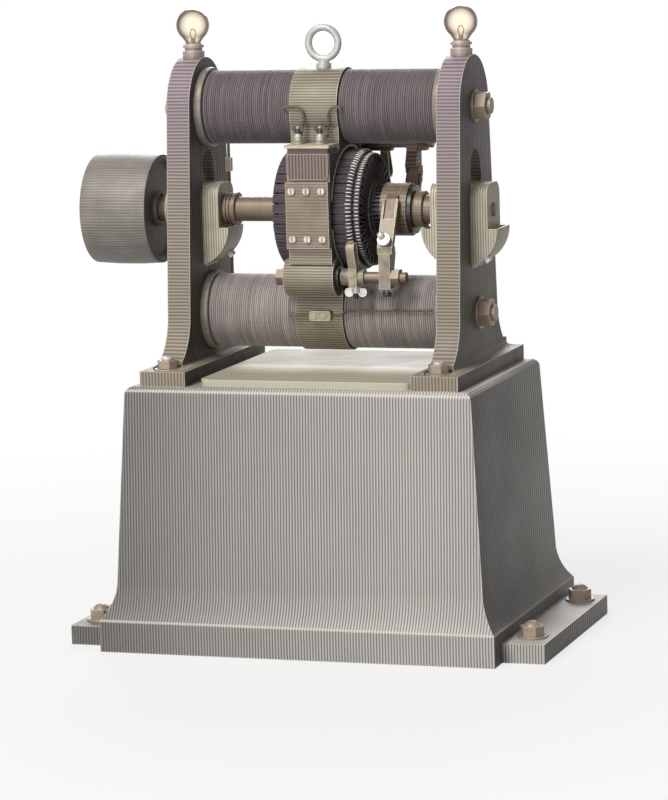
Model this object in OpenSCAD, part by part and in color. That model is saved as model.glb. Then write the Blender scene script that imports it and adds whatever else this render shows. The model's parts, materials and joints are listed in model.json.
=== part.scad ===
// Belt-driven pedestal dynamo with a wound ring armature between two pairs of field coils.
// X runs along the shaft (pulley at -X), Y goes to the back, Z is up. Lengths in mm.

/* [Pedestal] */
// Length of the deck along the shaft
deck_w = 624; // [560:1:720]
// Depth of the deck, front to back
deck_d = 440; // [420:1:520]
// Height of the deck above the floor
deck_h = 460; // [320:1:620]
// How much each side leans out on the way down to the flare
batter = 18; // [6:1:30]
// How far the flare spreads beyond the sides
flare_out = 26; // [12:1:40]
// Height of the flare
flare_h = 70; // [50:1:110]
// Height of the upright plinth at the floor
plinth_h = 55; // [40:1:80]
// Wall of the hollow casting
wall = 16; // [10:1:24]
// Radius of the edge round the deck
deck_edge_r = 14; // [4:1:20]
// Width of each floor flange beyond the plinth
flange_w = 74; // [60:1:100]
// Length of each floor flange
flange_l = 430; // [360:1:480]
// Height of each floor flange
flange_h = 34; // [24:1:48]
// Distance between the two bolts of one flange
floor_bolt_pitch = 320; // [260:1:340]
// Radius of the holes for the foundation bolts
floor_hole_r = 11; // [8:0.5:13]

/* [Standards] */
// Distance between the middle planes of the two standards
stand_span = 490; // [480:1:530]
// Thickness of a standard
stand_t = 42; // [34:1:52]
// Radius of the round top, about the upper core
stand_top_r = 88; // [78:1:96]
// Half depth of a standard just above its foot
stand_low = 116; // [100:1:122]
// Radius of the flare at the foot, front and back
foot_flare_r = 92; // [60:1:96]
// Radius of the smaller flare at the foot, left and right
foot_side_r = 14; // [8:1:18]
// Width of the foot slab
foot_w = 83; // [76:1:96]
// Length of the foot slab
foot_l = 416; // [400:1:420]
// Thickness of the foot slab
foot_h = 26; // [18:1:34]
// Height of the shaft above the deck
shaft_h = 288; // [285:1:310]
// Height of the upper core above the shaft, and of the shaft above the lower core
core_pitch = 179; // [172:1:190]

/* [Bearings] */
// Radius of the shaft
shaft_r = 22; // [18:0.5:24]
// Running clearance between shaft and bushes
run_clear = 0.05; // [0.03:0.01:0.1]
// Wall of the bushes
bush_wall = 8; // [5:0.5:10]
// Half depth of the bearing blocks
block_half = 40; // [38:1:46]
// How far the blocks stand out from the faces of a standard
block_out = 30; // [24:1:34]
// How far the oil cups stand out from the faces of a standard
cup_out = 47; // [42:1:52]
// Depth of the oil cup ledge below the shaft
ledge_drop = 30; // [29:1:36]
// Half width of the arched opening in a standard
slot_half = 33; // [31:1:36]
// Height of the top of the arched opening above the shaft
slot_top = 106; // [90:1:112]

/* [Field] */
// Radius of the iron cores
core_r = 42; // [36:1:46]
// Radius of the wound coils
coil_r = 64.5; // [62:0.5:67]
// Wall of the bobbin sleeves
sleeve_wall = 3; // [2:0.5:4]
// Radius of the bobbin cheeks
cheek_r = 70; // [68:1:77]
// Thickness of the bobbin cheeks
cheek_t = 14; // [8:1:18]
// Loops of wire wound on each coil
coil_loops = 11; // [6:1:12]
// Thickness of the wire of the field coils
coil_wire = 9.2; // [8:0.1:10]
// Radius of the band of a pole piece
band_r = 68; // [66:1:74]
// Width of a pole piece along the shaft
pole_w = 87; // [78:1:92]
// Middle of the pole pieces along the shaft
pole_mid = -4.5; // [-12:0.5:4]
// Bore of the pole pieces
tunnel_r = 109; // [108:0.5:111]
// Distance from the shaft to the front faces of the horns
horn_y = 116; // [115:1:122]
// Thickness of the bridge plates
bridge_t = 12; // [8:1:16]
// Height of the shelf for the terminal board above the shaft
shelf_z = 106; // [100:1:110]

/* [Rotor] */
// Radius of the wound armature
arm_r = 105; // [102:0.5:105.5]
// Inner radius of the wound armature
arm_ri = 56; // [50:1:60]
// Length of the wound armature
arm_l = 146; // [130:1:150]
// Number of armature sections and of commutator bars
sections = 36; // [24:2:40]
// Radius of the commutator
comm_r = 46; // [42:0.5:48]
// Length of the commutator
comm_l = 46; // [42:1:50]
// Radius of the pulley
pulley_r = 98; // [85:1:105]
// Width of the pulley
pulley_w = 122; // [100:1:126]

/* [Brush gear] */
// Distance of a brush spindle in front of the shaft
spindle_y = 88; // [86:1:92]
// Distance of a brush spindle below the shaft
spindle_z = 109; // [106:1:113]
// Radius of the brush spindles
spindle_r = 9.5; // [8:0.5:11]
// Radius of the bosses for the spindles
boss_r = 33; // [28:1:35]
// Width of a brush
brush_w = 20; // [16:1:24]
// Angle at which the brushes lean back on the commutator
brush_lean = 28; // [22:1:32]

/* [Lamps and eye] */
// Radius of the lamp bulbs
bulb_r = 29; // [24:1:34]
// Mean radius of the lifting eye
eye_r = 27; // [22:1:32]
// Radius of the bar of the lifting eye
eye_bar_r = 6.3; // [5:0.1:8]

/* [Hidden] */
$fn = 64;
shaft_z = deck_h + shaft_h;
foot_top = deck_h + foot_h;
foot_seat = 1;
foot_seat_z = foot_top - foot_seat;
stand_x = stand_span / 2;
face_in = stand_x - stand_t / 2;
face_out = stand_x + stand_t / 2;
plinth_x = deck_w / 2 + batter + flare_out;
plinth_y = deck_d / 2 + batter + flare_out;
flange_x = plinth_x + flange_w;
floor_bolt_in = 38;
floor_bolt_x = plinth_x + floor_bolt_in;
deck_t = wall + 4;
drip_t = 12;
drip_gap = 3;
drip_gap_left = 21;
drip_corner_r = 16;

// fasteners
floor_nut_r = 21;
floor_nut_h = 17;
floor_washer_r = 26;
floor_washer_t = 4;
foot_stud_r = 9;
foot_stud_y = foot_l / 2 - 27;
foot_nut_r = 18;
foot_nut_h = 15;
foot_washer_r = 23;
foot_washer_t = 3.5;
foot_seat_r = foot_washer_r + 2;
spigot_r = 24;
core_thread_r = 14;
core_nut_r = 26;
core_nut_h = 20;
core_washer_r = 28;
core_washer_t = 5;
hole_clear = 1;

// swelling of a wire at its bends
joint_swell = 1.06;
lead_sides = 8;
lead_steps = 4;

// bearings
bush_r = shaft_r + bush_wall;
block_top = 47;
block_low = 98;
block_round = 22;
end_wall = 5;
tail_r = 12;
tail_out = 2;
tail_rise = 4;
boss_wall = 7;
cup_r = block_low - ledge_drop;
cup_x0 = block_out + 4;
cup_x1 = cup_out - 3.5;
cup_depth = 14;
plug_a = 48;
plug_y = block_half - 12;
plug_r = 4;
plug_hole = 10;
plug_seat = 1.5;

// field
pole_x0 = pole_mid - pole_w / 2;
pole_x1 = pole_mid + pole_w / 2;
horn_x0 = pole_x0 + 10;
tip_front = 24;
tip_rear = 24;
neck_half = band_r - 8;
shoulder_z = 84;
coil_left_l = pole_x0 + face_in - cheek_t;
coil_right_l = face_in - cheek_t - pole_x1;
coil_rings = 18;
coil_sides = 5;
wire_path_r = coil_r - coil_wire / 2;
lead_r = 2.6;
lead_clear = 0.4;
bridge_top = 58;
pad_t = 5;
pad_gap = 4;
pad_r = 10;
bridge_low = 56;
bridge_rows = [43, -39.5];
bridge_cols = [11.5, 38.5, 65.5];
screw_r = 4;
screw_head_r = 6.5;
spacer_t = 10;
board_t = 5;
post_x = [-24, 16];
post_y = -92;
post_r = 9;
post_h = 18;
post_stem = 9;
post_stud_r = 3;
nut_wing_r = 5.5;
nut_wing_t = 3;
connector_r = 4;
connector_h = 17;
link_x = -face_in + cheek_t + 6;
link_y = block_half + 10;
link_end = sqrt(coil_r * coil_r - (link_y - lead_r) * (link_y - lead_r)) + 1;

// lamps and eye
lamp_stem = 14;
lamp_stem_r = 7;
lamp_seat = 2.5;
lamp_base_r = 19;
lamp_socket_z = 20;
bulb_neck_r = 13;
bulb_wall = 2;
bulb_z = 56;
eye_seat = 1.3;
eye_base_r = 13;
eye_stem = 16;
eye_stem_r = 8;

// rotor
arm_mid = -1;
arm_x0 = arm_mid - arm_l / 2;
arm_x1 = arm_mid + arm_l / 2;
wind_t = 11;
iron_r = arm_r - wind_t;
iron_ri = arm_ri + wind_t;
riser_x0 = arm_x1 + 3;
riser_x1 = riser_x0 + 9;
comm_x0 = riser_x1 + 21;
comm_x1 = comm_x0 + comm_l;
comm_ri = 35;
collar_r = 28;
flinger_r = 32;
collar_gap = 0.6;
cup_clear = 2;
pulley_gap = 16;
pulley_x1 = -face_out - block_out - pulley_gap;
pulley_x0 = pulley_x1 - pulley_w;
pulley_hub_r = 31;
pulley_crown = 2;
pulley_recess = 9;
pulley_rim = 11;
pulley_web = 16;
key_w = 10;
key_h = 5;

// brush gear, front one
bush_hole_r = spindle_r + 6;
boss_x0 = pole_x0 - 2;
boss_x1 = pole_x1 + 2;
head_h = 16;
sleeve_r = 15;
sleeve_x0 = boss_x1 + 8;
sleeve_x1 = sleeve_x0 + 40;
loop_mid = sleeve_x0 + 23;
arm_width = 20;
arm_c = comm_x0 + comm_l / 2;
spindle_x1 = arm_c + 36;
brush_gap = 0.35;
brush_t = 8;
brush_back = -comm_r - brush_gap;
brush_front = brush_back - brush_t;
brush_low = -96;
brush_tip = 7;
holder_side = 3.5;
holder_t = 4.5;
holder_face = brush_front - holder_t;
holder_top = -5;
cover_top = -42;
thumb_s = -84;
knob_r = 11;
knob_gap = 0.4;
clamp_low = -68;
clamp_top = -56;
strap_w = 14;
strap_t = 2.8;
bend_r = 10.5;
bend_y = -107;
bend_z = -58;
wing_stud_r = 4;
wing_z = -spindle_z - sleeve_r;

// Helpers

module box(x0, x1, y0, y1, z0, z1) {
    translate([x0, y0, z0]) cube([x1 - x0, y1 - y0, z1 - z0]);
}

module bar_x(x0, x1, r, y = 0, z = 0) {
    translate([x0, y, z]) rotate([0, 90, 0]) cylinder(h = x1 - x0, r = r);
}

module bar_y(y0, y1, r, x = 0, z = 0) {
    translate([x, y1, z]) rotate([90, 0, 0]) cylinder(h = y1 - y0, r = r);
}

module bar_z(z0, z1, r, x = 0, y = 0) {
    translate([x, y, z0]) cylinder(h = z1 - z0, r = r);
}

module hex_x(x0, x1, r, y = 0, z = 0) {
    translate([x0, y, z]) rotate([0, 90, 0]) rotate(30) cylinder(h = x1 - x0, r = r, $fn = 6);
}

module hex_z(z0, z1, r, x = 0, y = 0) {
    translate([x, y, z0]) cylinder(h = z1 - z0, r = r, $fn = 6);
}

module along_x(x0, x1) {
    translate([x0, 0, 0]) rotate([90, 0, 90]) linear_extrude(height = x1 - x0) children();
}

module along_y(y0, y1) {
    translate([0, y1, 0]) rotate([90, 0, 0]) linear_extrude(height = y1 - y0) children();
}

module at_shaft() {
    translate([0, 0, shaft_z]) children();
}

module half_turn() {
    rotate([180, 0, 0]) children();
}

module rod(a, b, r) {
    d = b - a;
    l = norm(d);
    translate(a) rotate([0, acos(d[2] / l), atan2(d[1], d[0])]) cylinder(h = l, r = r, $fn = 32);
}

module jointed_wire(points, r) {
    for (i = [0 : len(points) - 2]) {
        rod(points[i], points[i + 1], r);
    }
    for (i = [1 : len(points) - 2]) {
        translate(points[i]) sphere(r = r * joint_swell, $fn = 32);
    }
}

function unit(v) = v / norm(v);

// Points of a smooth curve through the points given
function smooth(p, steps) =
    concat([for (i = [0 : len(p) - 2], k = [0 : steps - 1])
        let (t = k / steps, a = p[max(i - 1, 0)], b = p[i], c = p[i + 1], d = p[min(i + 2, len(p) - 1)])
        (2 * b + (c - a) * t + (2 * a - 5 * b + 4 * c - d) * t * t + (3 * b - a - 3 * c + d) * t * t * t) / 2],
        [p[len(p) - 1]]);

function lead_tangent(p, i) = unit(p[min(i + 1, len(p) - 1)] - p[max(i - 1, 0)]);

function lead_ring(p, i, r, side) =
    let (t = lead_tangent(p, i), n = unit(side - (side * t) * t), b = cross(t, n))
    [for (k = [0 : lead_sides - 1]) p[i] + r * (cos(360 * k / lead_sides) * n + sin(360 * k / lead_sides) * b)];

// A bent tube; side is a direction that no stretch of it runs along
module lead(points, r, side) {
    p = smooth(points, lead_steps);
    n = len(p);
    m = lead_sides;
    pts = [for (i = [0 : n - 1]) each lead_ring(p, i, r, side)];
    tube_skin(pts, n, m);
}

module tube_skin(pts, n, m) {
    skin = [for (i = [0 : n - 2]) for (k = [0 : m - 1])
        let (a = i * m + k, b = i * m + (k + 1) % m, c = a + m, e = b + m)
        each [[a, c, b], [b, c, e]]];
    first = [for (k = [1 : m - 2]) [0, k, k + 1]];
    last = [for (k = [1 : m - 2]) [(n - 1) * m, (n - 1) * m + k + 1, (n - 1) * m + k]];
    polyhedron(points = pts, faces = concat(skin, first, last), convexity = 10);
}

// One unbroken helical tube along X from x = 0 to x = span, its ends square to both cheeks

function helix_flat(span, loops, d, r) =
    let (rb = d * 0.72, s1 = 2 * PI * r * loops, rise = span - 2 * (d + rb))
    concat(
        [[0, 0], [0, d]],
        [for (k = [1 : 3]) [rb - rb * cos(30 * k), d + rb * sin(30 * k)]],
        [for (k = [1 : loops * coil_rings]) let (f = k / (loops * coil_rings)) [rb + s1 * f, d + rb + rise * f]],
        [for (k = [1 : 3]) [rb + s1 + rb * sin(30 * k), span - d - rb * cos(30 * k)]],
        [[2 * rb + s1, span]]);

function helix_path(span, loops, d, r) =
    [for (p = helix_flat(span, loops, d, r)) let (a = p[0] / r * 180 / PI) [p[1], r * cos(a), r * sin(a)]];

function tangent(p, i) =
    i == 0 ? [1, 0, 0] : i == len(p) - 1 ? [1, 0, 0] : unit(unit(p[i + 1] - p[i]) + unit(p[i] - p[i - 1]));

function ring_points(p, i, d) =
    let (t = tangent(p, i), out = unit([0, p[i][1], p[i][2]]), n = unit(out - (out * t) * t), b = cross(t, n))
    [for (k = [0 : coil_sides - 1]) p[i] + d / 2 * (cos(360 * k / coil_sides) * n + sin(360 * k / coil_sides) * b)];

module helix_tube(span, loops, d, r) {
    p = helix_path(span, loops, d, r);
    n = len(p);
    m = coil_sides;
    pts = [for (i = [0 : n - 1]) each ring_points(p, i, d)];
    tube_skin(pts, n, m);
}

// least space between one part of a tube and another part of it, measured on the points of its path
function helix_gap(span, loops, d, r) =
    let (p = helix_path(span, loops, d, r), n = len(p), away = floor(coil_rings * 0.6))
    min([for (i = [0 : n - 1 - away]) min([for (j = [i + away : n - 1]) norm(p[i] - p[j])])]) - d;

echo(left_coil_gap = helix_gap(coil_left_l, coil_loops, coil_wire, wire_path_r));
echo(right_coil_gap = helix_gap(coil_right_l, coil_loops, coil_wire, wire_path_r));

// Pedestal and what stands on it

module pedestal_outline(half_top) {
    half_low = half_top + batter;
    flare_top = plinth_h + flare_h;
    arc_r = (flare_out * flare_out + flare_h * flare_h) / (2 * flare_out);
    e = deck_edge_r;
    polygon([[-half_low, plinth_h - 1], [half_low, plinth_h - 1], [half_low, flare_top],
        [half_top, deck_h - e], [-half_top, deck_h - e], [-half_low, flare_top]]);
    translate([-half_top + e, deck_h - e - 1]) square([2 * half_top - 2 * e, e + 1]);
    for (s = [-1, 1]) {
        translate([s * (half_top - e), deck_h - e]) circle(r = e);
        difference() {
            polygon([[s * (half_low - 1), plinth_h - 1], [s * (half_low + flare_out), plinth_h - 1],
                [s * (half_low + flare_out), plinth_h], [s * half_low, flare_top], [s * (half_low - 1), flare_top]]);
            translate([s * (half_low + arc_r), flare_top]) circle(r = arc_r, $fn = 128);
        }
    }
    translate([-half_low - flare_out, 0]) square([2 * half_low + 2 * flare_out, plinth_h]);
}

module pedestal_room(half_top) {
    half_low = half_top + batter;
    polygon([[-half_low + wall, -1], [half_low - wall, -1], [half_low - wall, plinth_h + flare_h],
        [half_top - wall, deck_h - deck_t], [-half_top + wall, deck_h - deck_t],
        [-half_low + wall, plinth_h + flare_h]]);
}

module pedestal() {
    color("dimgray") difference() {
        union() {
            intersection() {
                along_y(-plinth_y - 1, plinth_y + 1) pedestal_outline(deck_w / 2);
                along_x(-plinth_x - 1, plinth_x + 1) pedestal_outline(deck_d / 2);
            }
            for (s = [-1, 1]) {
                box(min(s * (plinth_x - 4), s * flange_x), max(s * (plinth_x - 4), s * flange_x),
                    -flange_l / 2, flange_l / 2, 0, flange_h);
            }
        }
        intersection() {
            along_y(-plinth_y, plinth_y) pedestal_room(deck_w / 2);
            along_x(-plinth_x, plinth_x) pedestal_room(deck_d / 2);
        }
        for (s = [-1, 1], t = [-1, 1]) {
            bar_z(-1, flange_h + 1, floor_hole_r, s * floor_bolt_x, t * floor_bolt_pitch / 2);
            bar_z(deck_h - deck_t - 1, deck_h + 1, foot_stud_r, s * stand_x, t * foot_stud_y);
        }
    }
}

module drip_plate() {
    x0 = -stand_x + foot_w / 2 + drip_gap_left;
    x1 = stand_x - foot_w / 2 - drip_gap;
    y = foot_l / 2 - 12;
    r = drip_corner_r;
    color("lightgray") translate([0, 0, deck_h]) linear_extrude(height = drip_t) {
        translate([x0 + r, -y]) square([x1 - x0 - 2 * r, 2 * y]);
        translate([x0, -y + r]) square([x1 - x0, 2 * y - 2 * r]);
        for (x = [x0 + r, x1 - r], t = [-1, 1]) {
            translate([x, t * (y - r)]) circle(r = r);
        }
    }
}

module stand_side_outline() {
    core_z = shaft_z + core_pitch;
    flare_z = foot_top + foot_flare_r;
    translate([0, core_z]) circle(r = stand_top_r, $fn = 128);
    polygon([[-stand_top_r, core_z], [stand_top_r, core_z], [stand_low, flare_z], [stand_low, foot_top - 1],
        [-stand_low, foot_top - 1], [-stand_low, flare_z]]);
    for (s = [-1, 1]) {
        difference() {
            translate([s > 0 ? stand_low - 1 : -stand_low - foot_flare_r, foot_top - 1])
                square([foot_flare_r + 1, foot_flare_r + 1]);
            translate([s * (stand_low + foot_flare_r), foot_top + foot_flare_r]) circle(r = foot_flare_r);
        }
    }
}

module stand_front_outline() {
    translate([-stand_t / 2, foot_top - 1]) square([stand_t, core_pitch + shaft_h + stand_top_r]);
    for (s = [-1, 1]) {
        difference() {
            translate([s > 0 ? stand_t / 2 - 1 : -stand_t / 2 - foot_side_r, foot_top - 1])
                square([foot_side_r + 1, foot_side_r + 1]);
            translate([s * (stand_t / 2 + foot_side_r), foot_top + foot_side_r]) circle(r = foot_side_r);
        }
    }
}

module standard() {
    difference() {
        union() {
            intersection() {
                along_x(-foot_w / 2, foot_w / 2) stand_side_outline();
                along_y(-foot_l / 2, foot_l / 2) stand_front_outline();
            }
            box(-foot_w / 2, foot_w / 2, -foot_l / 2, foot_l / 2, deck_h, foot_top);
        }
        for (t = [-1, 1]) {
            bar_x(-stand_t, stand_t, spigot_r, 0, shaft_z + t * core_pitch);
            bar_z(deck_h - 1, foot_top + 1, foot_stud_r + hole_clear, 0, t * foot_stud_y);
            // seat faced into the flare for the washer
            bar_z(foot_seat_z, foot_top + foot_flare_r, foot_seat_r, 0, t * foot_stud_y);
        }
        box(-stand_t, stand_t, -slot_half, slot_half, shaft_z - block_low, shaft_z + slot_top - slot_half);
        bar_x(-stand_t, stand_t, slot_half, 0, shaft_z + slot_top - slot_half);
        bar_z(shaft_z + core_pitch + stand_top_r - lamp_stem, shaft_z + core_pitch + stand_top_r + 1, lamp_stem_r);
        bar_z(shaft_z + core_pitch + stand_top_r - lamp_seat, shaft_z + core_pitch + stand_top_r + 1, lamp_base_r + 0.5);
    }
}

module left_standard() {
    color("rosybrown") translate([-stand_x, 0, 0]) standard();
}

module right_standard() {
    color("rosybrown") translate([stand_x, 0, 0]) standard();
}

module foot_studs() {
    color("silver") for (s = [-1, 1], t = [-1, 1]) {
        bar_z(deck_h - deck_t, foot_seat_z + foot_washer_t + foot_nut_h + 4, foot_stud_r, s * stand_x, t * foot_stud_y);
    }
}

module foot_nuts() {
    z = foot_seat_z + foot_washer_t;
    color("peru") for (s = [-1, 1], t = [-1, 1]) {
        difference() {
            hex_z(z, z + foot_nut_h, foot_nut_r, s * stand_x, t * foot_stud_y);
            bar_z(z - 1, z + foot_nut_h + 1, foot_stud_r, s * stand_x, t * foot_stud_y);
        }
    }
}

module floor_nuts() {
    z = flange_h + floor_washer_t;
    color("peru") for (s = [-1, 1], t = [-1, 1]) {
        translate([s * floor_bolt_x, t * floor_bolt_pitch / 2, z]) difference() {
            union() {
                hex_z(0, floor_nut_h, floor_nut_r);
                intersection() {
                    translate([0, 0, floor_nut_h - 8]) sphere(r = 17);
                    bar_z(floor_nut_h - 1, floor_nut_h + 12, 17);
                }
            }
            bar_z(-1, floor_nut_h - 3, floor_hole_r - 1.5);
        }
    }
}

module washer_z(x, y, z, r, ri, t) {
    difference() {
        bar_z(z, z + t, r, x, y);
        bar_z(z - 1, z + t + 1, ri, x, y);
    }
}

module washers() {
    color("tan") for (s = [-1, 1]) {
        for (t = [-1, 1]) {
            washer_z(s * floor_bolt_x, t * floor_bolt_pitch / 2, flange_h, floor_washer_r, floor_hole_r + 1, floor_washer_t);
            washer_z(s * stand_x, t * foot_stud_y, foot_seat_z, foot_washer_r, foot_stud_r + hole_clear, foot_washer_t);
            x0 = s > 0 ? face_out : -face_out - core_washer_t;
            at_shaft() difference() {
                bar_x(x0, x0 + core_washer_t, core_washer_r, 0, t * core_pitch);
                bar_x(x0 - 1, x0 + core_washer_t + 1, core_thread_r + hole_clear, 0, t * core_pitch);
            }
        }
    }
}

// Field

module field_core() {
    bar_x(-face_in, face_in, core_r);
    bar_x(-face_out, face_out, spigot_r);
    reach = face_out + core_washer_t + core_nut_h + 6;
    bar_x(-reach, reach, core_thread_r);
}

module upper_field_core() {
    color("gray") at_shaft() translate([0, 0, core_pitch]) field_core();
}

module lower_field_core() {
    color("gray") at_shaft() translate([0, 0, -core_pitch]) field_core();
}

module core_nuts() {
    x0 = face_out + core_washer_t;
    color("peru") at_shaft() for (s = [-1, 1], t = [-1, 1]) {
        translate([0, 0, t * core_pitch]) difference() {
            hex_x(s > 0 ? x0 : -x0 - core_nut_h, s > 0 ? x0 + core_nut_h : -x0, core_nut_r);
            bar_x(s > 0 ? x0 - 1 : -x0 - core_nut_h - 1, s > 0 ? x0 + core_nut_h + 1 : -x0 + 1, core_thread_r);
        }
    }
}

module bobbin(x0, x1, cheek_x0) {
    difference() {
        union() {
            bar_x(x0, x1, core_r + sleeve_wall);
            bar_x(cheek_x0, cheek_x0 + cheek_t, cheek_r);
        }
        bar_x(x0 - 1, x1 + 1, core_r);
    }
}

module left_bobbin(z) {
    color("saddlebrown") at_shaft() translate([0, 0, z]) bobbin(-face_in, pole_x0, -face_in);
}

module right_bobbin(z) {
    color("saddlebrown") at_shaft() translate([0, 0, z]) bobbin(pole_x1, face_in, face_in - cheek_t);
}

module upper_left_bobbin() {
    left_bobbin(core_pitch);
}

module upper_right_bobbin() {
    right_bobbin(core_pitch);
}

module lower_left_bobbin() {
    left_bobbin(-core_pitch);
}

module lower_right_bobbin() {
    right_bobbin(-core_pitch);
}

module coil(span) {
    difference() {
        union() {
            bar_x(0, span, wire_path_r - 1.5);
            helix_tube(span, coil_loops, coil_wire, wire_path_r);
        }
        bar_x(-1, span + 1, core_r + sleeve_wall);
    }
}

module left_coil(z) {
    color("dimgray") at_shaft() translate([-face_in + cheek_t, 0, z]) coil(coil_left_l);
}

module right_coil(z) {
    color("dimgray") at_shaft() translate([pole_x1, 0, z]) coil(coil_right_l);
}

module upper_left_coil() {
    left_coil(core_pitch);
}

module upper_right_coil() {
    right_coil(core_pitch);
}

module lower_left_coil() {
    left_coil(-core_pitch);
}

module lower_right_coil() {
    right_coil(-core_pitch);
}

// The upper pole piece seen from the shaft: horn and shelf at the front, spindle boss at the back
module horn_pad() {
    x0 = horn_x0 + 1;
    w = pole_x1 - 1 - x0;
    z0 = bridge_top + pad_gap;
    along_y(-horn_y - pad_t, -horn_y + 1) {
        translate([x0, z0 + pad_r]) square([w, shelf_z - z0 - pad_r]);
        translate([x0 + pad_r, z0]) square([w - 2 * pad_r, pad_r + 1]);
        for (x = [x0 + pad_r, x0 + w - pad_r]) {
            translate([x, z0 + pad_r]) circle(r = pad_r);
        }
    }
}

module pole_piece() {
    difference() {
        union() {
            horn_pad();
            bar_x(pole_x0, pole_x1, band_r, 0, core_pitch);
            box(pole_x0, pole_x1, -neck_half, neck_half, shoulder_z, core_pitch);
            box(horn_x0, pole_x1, -horn_y, 0, tip_front, shelf_z);
            box(horn_x0, pole_x1, 0, horn_y, tip_rear, shoulder_z);
            box(horn_x0, pole_x1, neck_half - 2, spindle_y, shoulder_z - 2, spindle_z);
            bar_x(boss_x0, boss_x1, boss_r, spindle_y, spindle_z);
        }
        bar_x(pole_x0 - 9, pole_x1 + 9, tunnel_r);
        bar_x(pole_x0 - 9, pole_x1 + 9, core_r, 0, core_pitch);
        bar_x(boss_x0 - 9, boss_x1 + 9, bush_hole_r, spindle_y, spindle_z);
        for (x = bridge_cols) {
            bar_y(-horn_y - 1, -horn_y + 9, screw_r, horn_x0 + x, bridge_rows[0]);
            bar_y(horn_y - 9, horn_y + 1, screw_r, horn_x0 + x, -bridge_rows[1]);
        }
    }
}

module upper_pole_piece() {
    top = core_pitch + band_r;
    color("darkkhaki") at_shaft() difference() {
        pole_piece();
        bar_z(top - eye_seat, top + 1, eye_base_r + 0.5, pole_mid);
        bar_z(top - eye_stem, top, eye_stem_r, pole_mid);
    }
}

module lower_pole_piece() {
    color("darkkhaki") at_shaft() half_turn() pole_piece();
}

module bridge_plate() {
    difference() {
        box(horn_x0, pole_x1, -horn_y - bridge_t, -horn_y, -bridge_low, bridge_top);
        for (x = bridge_cols, z = bridge_rows) {
            bar_y(-horn_y - bridge_t - 1, -horn_y + 1, screw_r, horn_x0 + x, z);
        }
    }
}

module front_bridge_plate() {
    color("goldenrod") at_shaft() bridge_plate();
}

module rear_bridge_plate() {
    color("goldenrod") at_shaft() half_turn() bridge_plate();
}

module bridge_screw_set() {
    y = -horn_y - bridge_t;
    for (x = bridge_cols, z = bridge_rows) {
        difference() {
            union() {
                bar_y(y, -horn_y + 8, screw_r, horn_x0 + x, z);
                bar_y(y - 4, y, screw_head_r, horn_x0 + x, z);
            }
            box(horn_x0 + x - 1, horn_x0 + x + 1, y - 5, y - 2.4, z - screw_head_r - 1, z + screw_head_r + 1);
        }
    }
}

module bridge_screws() {
    color("gold") at_shaft() {
        bridge_screw_set();
        half_turn() bridge_screw_set();
    }
}

module terminal_board() {
    z = shelf_z + spacer_t;
    color("burlywood") at_shaft() difference() {
        union() {
            box(horn_x0 + 2, pole_x1 - 2, -horn_y - pad_t + 4, -neck_half - 12, shelf_z, z);
            box(horn_x0 - 2, pole_x1 + 2, -horn_y - pad_t - 2, -neck_half - 8, z, z + board_t);
        }
        for (x = post_x) {
            bar_z(z + board_t - post_stem - 0.5, z + board_t + 1, 4, x, post_y);
        }
    }
}

module binding_posts() {
    z = shelf_z + spacer_t + board_t;
    h = post_h;
    color("gold") at_shaft() for (x = post_x) {
        translate([x, post_y, z]) {
            bar_z(-post_stem, 0, 4);
            rotate_extrude() polygon([[0, 0], [post_r, 0], [post_r, 3], [6, 4.5], [7, 6], [7, h - 6], [6, h - 3], [4.4, h], [0, h]]);
            bar_z(h - 1, h + 13, post_stud_r);
        }
    }
}

// A thumb nut with two round wings
module terminal_nut(x) {
    z = shelf_z + spacer_t + board_t + post_h;
    color("peru") at_shaft() translate([x, post_y, z]) difference() {
        union() {
            bar_z(0.3, 9, 5);
            intersection() {
                union() {
                    bar_y(-nut_wing_t, nut_wing_t, nut_wing_r, -5.5, 8.5);
                    bar_y(-nut_wing_t, nut_wing_t, nut_wing_r, 5.5, 8.5);
                }
                box(-12, 12, -nut_wing_t / 2, nut_wing_t / 2, 3.5, 15);
            }
        }
        bar_z(-1, 16, post_stud_r + run_clear);
    }
}

module left_terminal_nut() {
    terminal_nut(post_x[0]);
}

module right_terminal_nut() {
    terminal_nut(post_x[1]);
}

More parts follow.
